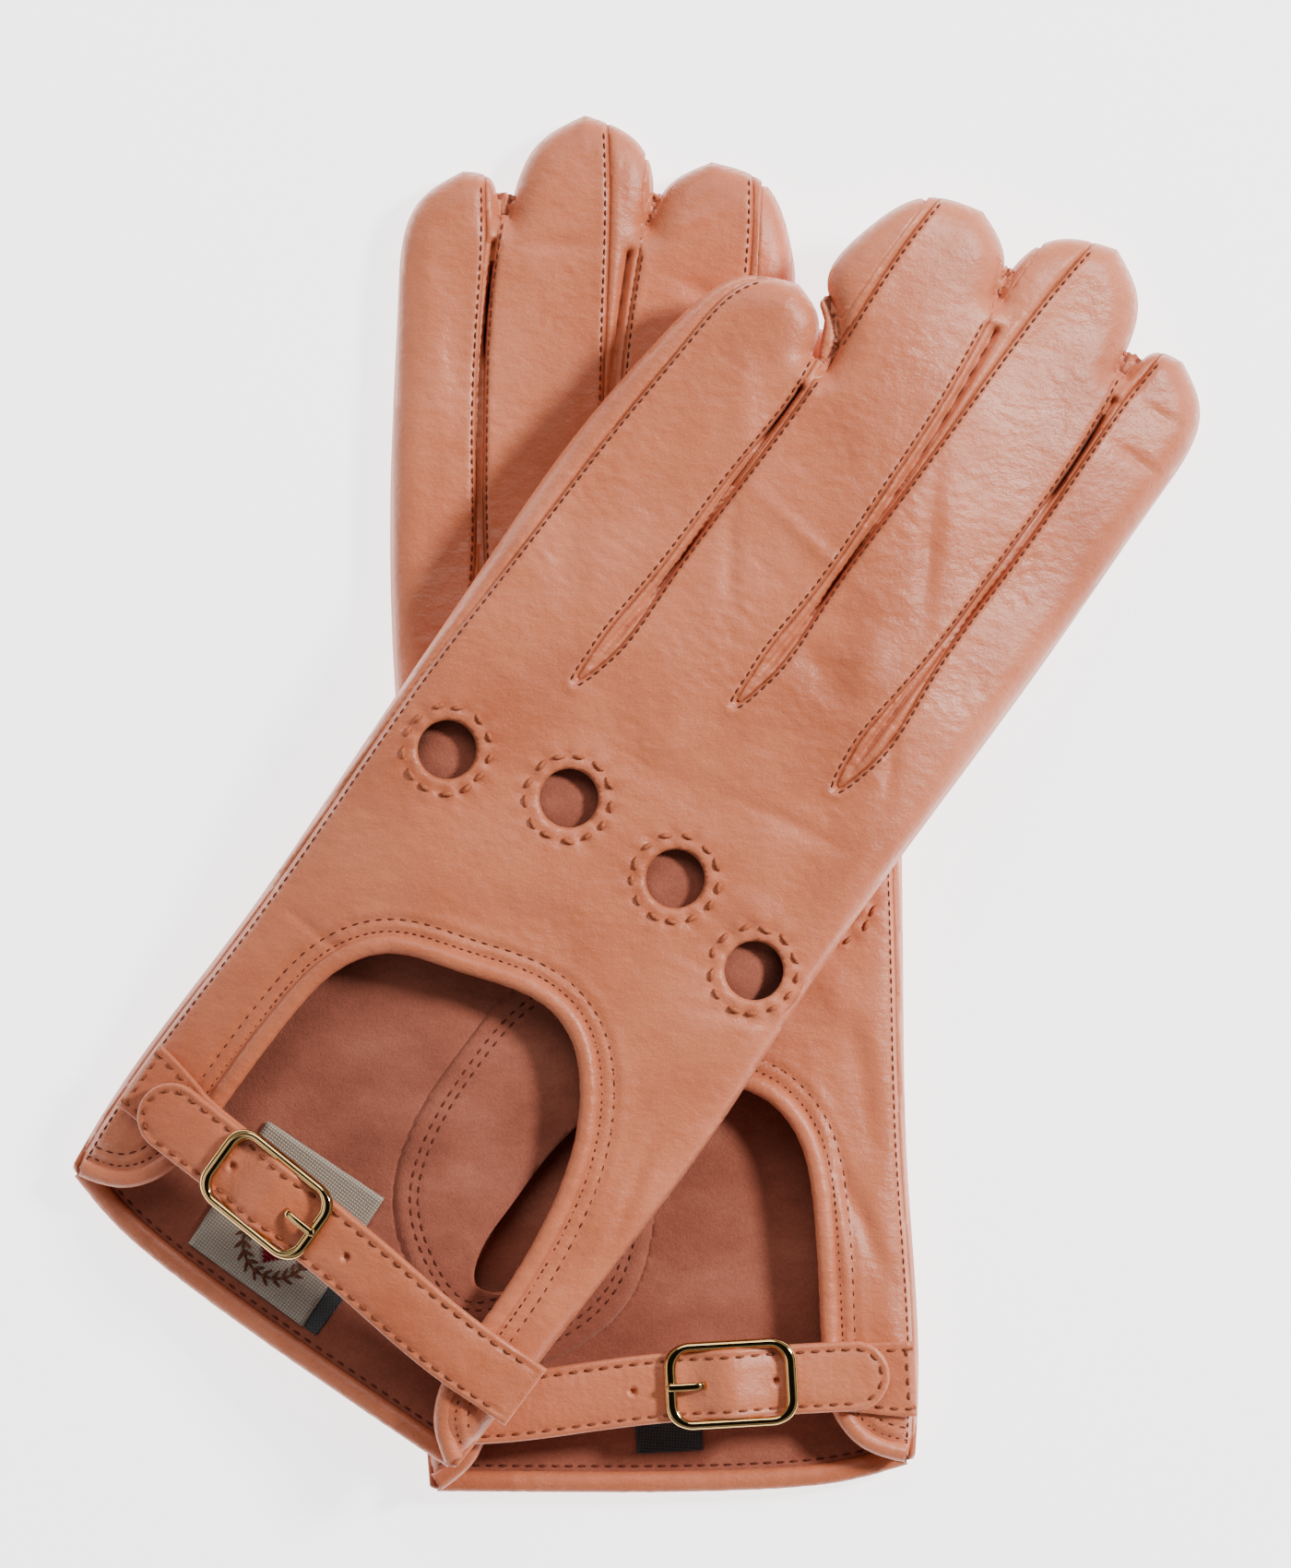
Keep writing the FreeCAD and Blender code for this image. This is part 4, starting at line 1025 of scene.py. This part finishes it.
def tab_profile():
    """The middle line of the tab, x and z in the buckle's frame, from its sewn root round the bar."""
    x = np.concatenate([np.linspace(-30.3, -21.0, 12), np.linspace(-20.2, 0, 40)[:-1]])
    z = 0.6 - 0.82 * step(-19.0, -21.5, x)
    angle = np.linspace(-math.pi / 2, math.pi * 0.86, 22)
    loop = np.stack([1.32 * np.cos(angle), BAR_HEIGHT + 1.32 * np.sin(angle)], 1)
    loop[0, 1] = 0.55
    tail = np.stack([np.linspace(-2.2, -6.5, 9), np.linspace(1.95, 1.4, 9)], 1)
    return np.vstack([np.stack([x, z], 1), loop, tail])


def make_tab(hand):
    line = tab_profile()
    t = tangents(line)
    normal = np.stack([-t[:, 1], t[:, 0]], 1)
    wide = 5.7 + 0.5 * step(-18, -30, line[:, 0])
    tilt = 1.2 * step(-14, -30, line[:, 0])
    thick = np.where(np.arange(len(line)) < TAB_FLAT_ROWS - 1, 0.58, 0.42)
    share = np.sin(np.linspace(-math.pi / 2, math.pi / 2, 20))
    rows = []
    for i, (x, z) in enumerate(line):
        a = wide[i] * share
        edge = wide[i] - np.abs(a)
        end = x + 30.3 if i < 45 else 9.0
        half = thick[i] * (0.45 + 0.55 * roll(np.minimum(edge, end), 0.6))
        half = half - 0.1 * np.exp(-((edge - STITCH_INSET) / 0.35) ** 2)
        y = a + tilt[i]
        upper = np.stack([x + normal[i, 0] * half, y, z + normal[i, 1] * half], 1)
        lower = np.stack([x - normal[i, 0] * half, y, z - normal[i, 1] * half], 1)[::-1]
        rows.append(np.vstack([upper, lower]))
    rows = np.array(rows)
    ends = np.array([rows[0].mean(0), rows[-1].mean(0)])
    faces = ring_faces(len(rows), rows.shape[1])
    gap = range(TAB_FLAT_ROWS, TAB_FLAT_ROWS + TAB_GAP_ROWS)
    count = rows.shape[1]
    kept = []
    for f in faces:
        low = min(f)
        i = low // count
        middle = rows.reshape(-1, 3)[[q for q in f if q < len(rows) * count]][:, 1].mean()
        if i in gap and abs(middle) < 1.35 and max(f) < len(rows) * count:
            continue
        kept.append(f)
    made = make_mesh(f"{hand}_tab_leather", at_buckle(hand, np.vstack([rows.reshape(-1, 3), ends])),
                     [f[::-1] for f in kept])
    dress(made, hand, "glove", "leather", [LEATHER], "strap_tab")
    stitches = []
    for way in (-1, 1):
        for x in np.arange(-29.2, -8.0, 2.5):
            at = x + np.linspace(-0.8, 0.8, 5)
            z = 1.16 - 0.82 * step(-19.0, -21.5, at) + np.array([-0.3, 0.12, 0.18, 0.12, -0.3])
            y = way * (5.7 + 0.5 * step(-18, -30, at) - 1.3) + 1.2 * step(-14, -30, at)
            stitches.append(np.stack([at, y, z], 1))
    for y in np.arange(-3.2, 5.0, 2.4):
        stitches.append(np.stack([np.full(5, -29.2), y + np.linspace(-0.8, 0.8, 5),
                                  0.34 + np.array([-0.3, 0.12, 0.18, 0.12, -0.3])], 1))
    stitches = np.array(stitches)
    world = at_buckle(hand, stitches.reshape(-1, 3)).reshape(-1, 5, 3)
    made = thread_mesh(f"{hand}_tab_stitches", world, STRAP_THREAD_RADIUS)
    dress(made, hand, "glove", "leather", [STRAP_THREAD])


def rounded_ring(half_x, half_y, radius, spacing=0.35):
    """A closed rectangle with round corners, evenly sampled."""
    points = []
    for cx, cy, start in ((1, 1, 0), (-1, 1, 90), (-1, -1, 180), (1, -1, 270)):
        for angle in np.radians(np.linspace(start, start + 90, 14)):
            points.append((cx * (half_x - radius) + radius * math.cos(angle),
                           cy * (half_y - radius) + radius * math.sin(angle)))
    ring = np.array(points + points[:1])
    gaps = np.linalg.norm(np.diff(ring, axis=0), axis=1)
    total = np.concatenate([[0.0], np.cumsum(gaps)])
    s = np.linspace(0, total[-1], int(total[-1] / spacing), endpoint=False)
    return np.stack([np.interp(s, total, ring[:, i]) for i in range(2)], 1)


def rod_mesh(a, b, radius, count=16):
    """Vertices and faces of a round rod between two points of the buckle's frame."""
    a, b = np.asarray(a, float), np.asarray(b, float)
    along = (b - a) / np.linalg.norm(b - a)
    side = np.cross(along, [0.31, 0.22, 0.92])
    side /= np.linalg.norm(side)
    up = np.cross(side, along)
    angle = np.linspace(0, 2 * math.pi, count, endpoint=False)[:, None]
    ring = radius * (np.cos(angle) * side + np.sin(angle) * up)
    return np.vstack([a + ring, b + ring, [a], [b]]), ring_faces(2, count)


def make_buckle(hand):
    ring = rounded_ring(9.95, 6.42, 3.4)
    t = tangents(ring, closed=True)
    side = np.stack([t[:, 1], -t[:, 0]], 1)
    half = 0.8 + 0.25 * step(0.3, 0.95, np.abs(side[:, 0]))
    section = ellipse(1.0, 0.86, 20, 0.88)
    rows = np.array([np.stack([p[0] + s[0] * section[:, 0] * w, p[1] + s[1] * section[:, 0] * w,
                               RIM_HEIGHT + section[:, 1]], 1) for p, s, w in zip(ring, side, half)])
    n, count = rows.shape[:2]
    faces = loop_faces(n, count)
    verts = [rows.reshape(-1, 3)]
    start = n * count
    parts = [rod_mesh((0, -6.4, BAR_HEIGHT), (0, 6.4, BAR_HEIGHT), 0.75)]
    parts += [rod_mesh((0, way * 6.42, BAR_HEIGHT), (0, way * 6.42, RIM_HEIGHT), 0.66) for way in (-1, 1)]
    for points, more in parts:
        verts.append(points)
        faces += [[q + start for q in f] for f in more]
        start += len(points)
    made = make_mesh(f"{hand}_buckle_metal", at_buckle(hand, np.vstack(verts)), faces)
    dress(made, hand, "buckle", "gold_metal", [GOLD], "buckle_frame")


def make_prong(hand):
    path = smooth([(0.9, BAR_HEIGHT), (3.2, BAR_HEIGHT + 0.5), (4.1, BAR_HEIGHT + 1.5),
                   (4.9, RIM_HEIGHT + 0.9),
                   (6.2, RIM_HEIGHT + 1.25), (8.4, RIM_HEIGHT + 1.25), (10.7, RIM_HEIGHT + 1.2)], 0.3)
    t = tangents(path)
    normal = np.stack([-t[:, 1], t[:, 0]], 1)
    section = ellipse(0.66, 0.4, 14, 0.7)
    taper = np.clip(np.minimum(1.0, 0.5 + (path[-1, 0] - path[:, 0]) / 1.2), 0, 1)
    rows = np.array([np.stack([p[0] + n[0] * section[:, 1] * w, section[:, 0] * w,
                               p[1] + n[1] * section[:, 1] * w], 1)
                     for p, n, w in zip(path, normal, taper)])
    n, count = rows.shape[:2]
    verts = [np.vstack([rows.reshape(-1, 3), [rows[0].mean(0), rows[-1].mean(0)]])]
    faces = ring_faces(n, count)
    start = len(verts[0])
    angle = np.linspace(0, 2 * math.pi, 30, endpoint=False)
    tube = ellipse(1.05, 0.26, 12, 0.8)
    eye = np.array([np.stack([(1.05 + tube[:, 1]) * math.cos(q), tube[:, 0],
                              BAR_HEIGHT + (1.05 + tube[:, 1]) * math.sin(q)], 1) for q in angle])
    faces += loop_faces(len(eye), len(tube), start)
    verts.append(eye.reshape(-1, 3))
    made = make_mesh(f"{hand}_prong_metal", at_buckle(hand, np.vstack(verts)), faces)
    dress(made, hand, "prong", "gold_metal", [GOLD], "buckle_prong")


# ---------------------------------------------------------------- labels
def label_sheet(hand, name, corners, lift, material, slot, node_name, seed):
    """A woven label as a thin closed sheet, a little wavy, its corners given anticlockwise in the plan."""
    corners = np.array(corners, float)
    n = 26
    s, t = np.meshgrid(np.linspace(0, 1, n), np.linspace(0, 1, n), indexing="ij")
    p = (corners[0] * ((1 - s) * (1 - t))[..., None] + corners[1] * (s * (1 - t))[..., None]
         + corners[2] * (s * t)[..., None] + corners[3] * ((1 - s) * t)[..., None]).reshape(-1, 2)
    h = inner_palm(hand, p) + lift + 0.12 * noise(p[:, 0] / 5, p[:, 1] / 5, seed)
    quads = [(i * n + j, (i + 1) * n + j, (i + 1) * n + j + 1, i * n + j + 1)
             for i in range(n - 1) for j in range(n - 1)]
    made = make_mesh(f"{hand}_{name}", to_world(hand, p[:, 0], p[:, 1], h), quads)
    solid = made.modifiers.new("thickness", "SOLIDIFY")
    solid.thickness, solid.offset = 0.3 * MM, 0.0
    dress(made, hand, "glove", slot, [material], node_name)


def ornament(hand, centre, level):
    """A plain wreath of leaves round a red lozenge, woven into the label."""
    leaves, cu, cv = [], *centre
    for i in range(15):
        angle = math.radians(145 + i * 250 / 14)
        for out, turn in ((6.3, 0.75), (4.9, 2.3), (5.6, 1.6)):
            at = np.linspace(-0.5, 0.5, 5) * 1.9
            d = angle + turn
            pts = np.stack([cu + out * math.cos(angle) + at * math.cos(d),
                            cv + out * math.sin(angle) + at * math.sin(d)], 1)
            leaves.append(to_world(hand, pts[:, 0], pts[:, 1], inner_palm(hand, pts) + level))
    made = thread_mesh(f"{hand}_label_wreath", np.array(leaves), 0.28)
    dress(made, hand, "glove", "pale_label", [ORNAMENT])
    rows = []
    for k in np.linspace(-1, 1, 11):
        half = 2.4 * (1 - abs(k)) + 0.3
        pts = np.stack([np.full(5, cu) + np.linspace(-half, half, 5), np.full(5, cv - 0.8 + 2.6 * k)], 1)
        rows.append(to_world(hand, pts[:, 0], pts[:, 1], inner_palm(hand, pts) + level))
    made = thread_mesh(f"{hand}_label_lozenge", np.array(rows), 0.3)
    dress(made, hand, "glove", "pale_label", [ORNAMENT_RED])


for each_hand in HANDS:
    make_skins(each_hand)
    make_facings(each_hand)
    make_piping(each_hand)
    make_stitches(each_hand)
    make_strap(each_hand)
    make_tab(each_hand)
    make_buckle(each_hand)
    make_prong(each_hand)
label_sheet(LEFT, "care_ribbon", [(4.6, 3.4), (8.2, 3.6), (8.2, 12.6), (4.8, 12.4)], 0.25, DARK_LABEL,
            "dark_label", "care_label", 5)
label_sheet(LEFT, "maker_ribbon", [(-17.8, 2.6), (5.6, 3.4), (3.6, 28.6), (-19.4, 27)], 0.62, PALE_LABEL,
            "pale_label", "lining_label", 6)
ornament(LEFT, (-6.0, 11.5), 0.85)
label_sheet(RIGHT, "size_ribbon", [(-6, 4), (5, 4), (5, 11), (-6, 11)], 0.25, DARK_LABEL,
            "dark_label", "size_label", 7)
for cad_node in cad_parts.values():
    if cad_node.type == "MESH":
        cad_node.data.materials.clear()
        cad_node.data.materials.append(GOLD if "buckle" in cad_node.name else LEATHER)

# ---------------------------------------------------------------- floor, light and camera
CENTRE_X, CENTRE_Y, EYE_Z, FOCUS_Z, VIEW_HEIGHT = 0.00158, 0.00321, 1.215, 0.015, 0.2584


def plain(name, colour, rough):
    material, tree, shader = new_material(name)
    shader.inputs["Base Color"].default_value = (*colour, 1.0)
    shader.inputs["Roughness"].default_value = rough
    return material


FLOOR_HALF, FLOOR_Z = 3, -0.0002
corners = [(x * FLOOR_HALF, y * FLOOR_HALF, FLOOR_Z) for x, y in ((-1, -1), (1, -1), (1, 1), (-1, 1))]
floor = make_mesh("floor", corners, [(0, 1, 2, 3)])
white = plain("pale_floor", (0.8, 0.8, 0.8), 0.9)
glow = white.node_tree.nodes["Principled BSDF"]
glow.inputs["Emission Color"].default_value = (1.0, 1.0, 1.0, 1.0)
glow.inputs["Emission Strength"].default_value = 2.7
floor.data.materials.append(white)


def area_light(name, place, size_m, power, colour):
    """A round soft light aimed at the middle of the gloves."""
    data = bpy.data.lights.new(name, "AREA")
    data.shape, data.size, data.energy, data.color = "DISK", size_m, power, colour
    made = bpy.data.objects.new(name, data)
    bpy.context.scene.collection.objects.link(made)
    made.location = place
    made.rotation_euler = (-Vector(place)).to_track_quat("-Z", "Y").to_euler()


for values in (("key", (1.0, 0.42, 0.98), 0.26, 31.0, (1.0, 0.985, 0.965)),
               ("top", (-0.15, 1.0, 1.15), 1.0, 9.5, (1.0, 1.0, 1.0)),
               ("left_fill", (-1.1, -0.3, 0.8), 1.0, 2.0, (0.98, 0.99, 1.0))):
    area_light(*values)

world = bpy.data.worlds.new("studio")
bpy.context.scene.world = world
world.use_nodes = True
tree = world.node_tree
coords = node(tree, "ShaderNodeTexCoord")
split = node(tree, "ShaderNodeSeparateXYZ")
tree.links.new(coords.outputs["Generated"], split.inputs["Vector"])
sky = ramp(tree, split.outputs["Z"], [
    (0.0, (0.05, 0.047, 0.045)), (0.35, (0.16, 0.155, 0.15)), (0.5, (0.95, 0.95, 0.95)),
    (0.72, (0.9, 0.9, 0.9)), (0.85, (0.03, 0.028, 0.026))])
tree.links.new(sky, tree.nodes["Background"].inputs["Color"])
tree.nodes["Background"].inputs["Strength"].default_value = 0.5

camera_data = bpy.data.cameras.new("camera")
camera_data.sensor_fit = "VERTICAL"
camera_data.sensor_height = 36.0
camera_data.lens = 36.0 * (EYE_Z - FOCUS_Z) / VIEW_HEIGHT
camera_data.clip_start, camera_data.clip_end = 0.05, 10.0
camera = bpy.data.objects.new("camera", camera_data)
bpy.context.scene.collection.objects.link(camera)
camera.location = (CENTRE_X, CENTRE_Y, EYE_Z)
bpy.context.scene.camera = camera

bpy.context.view_layer.update()
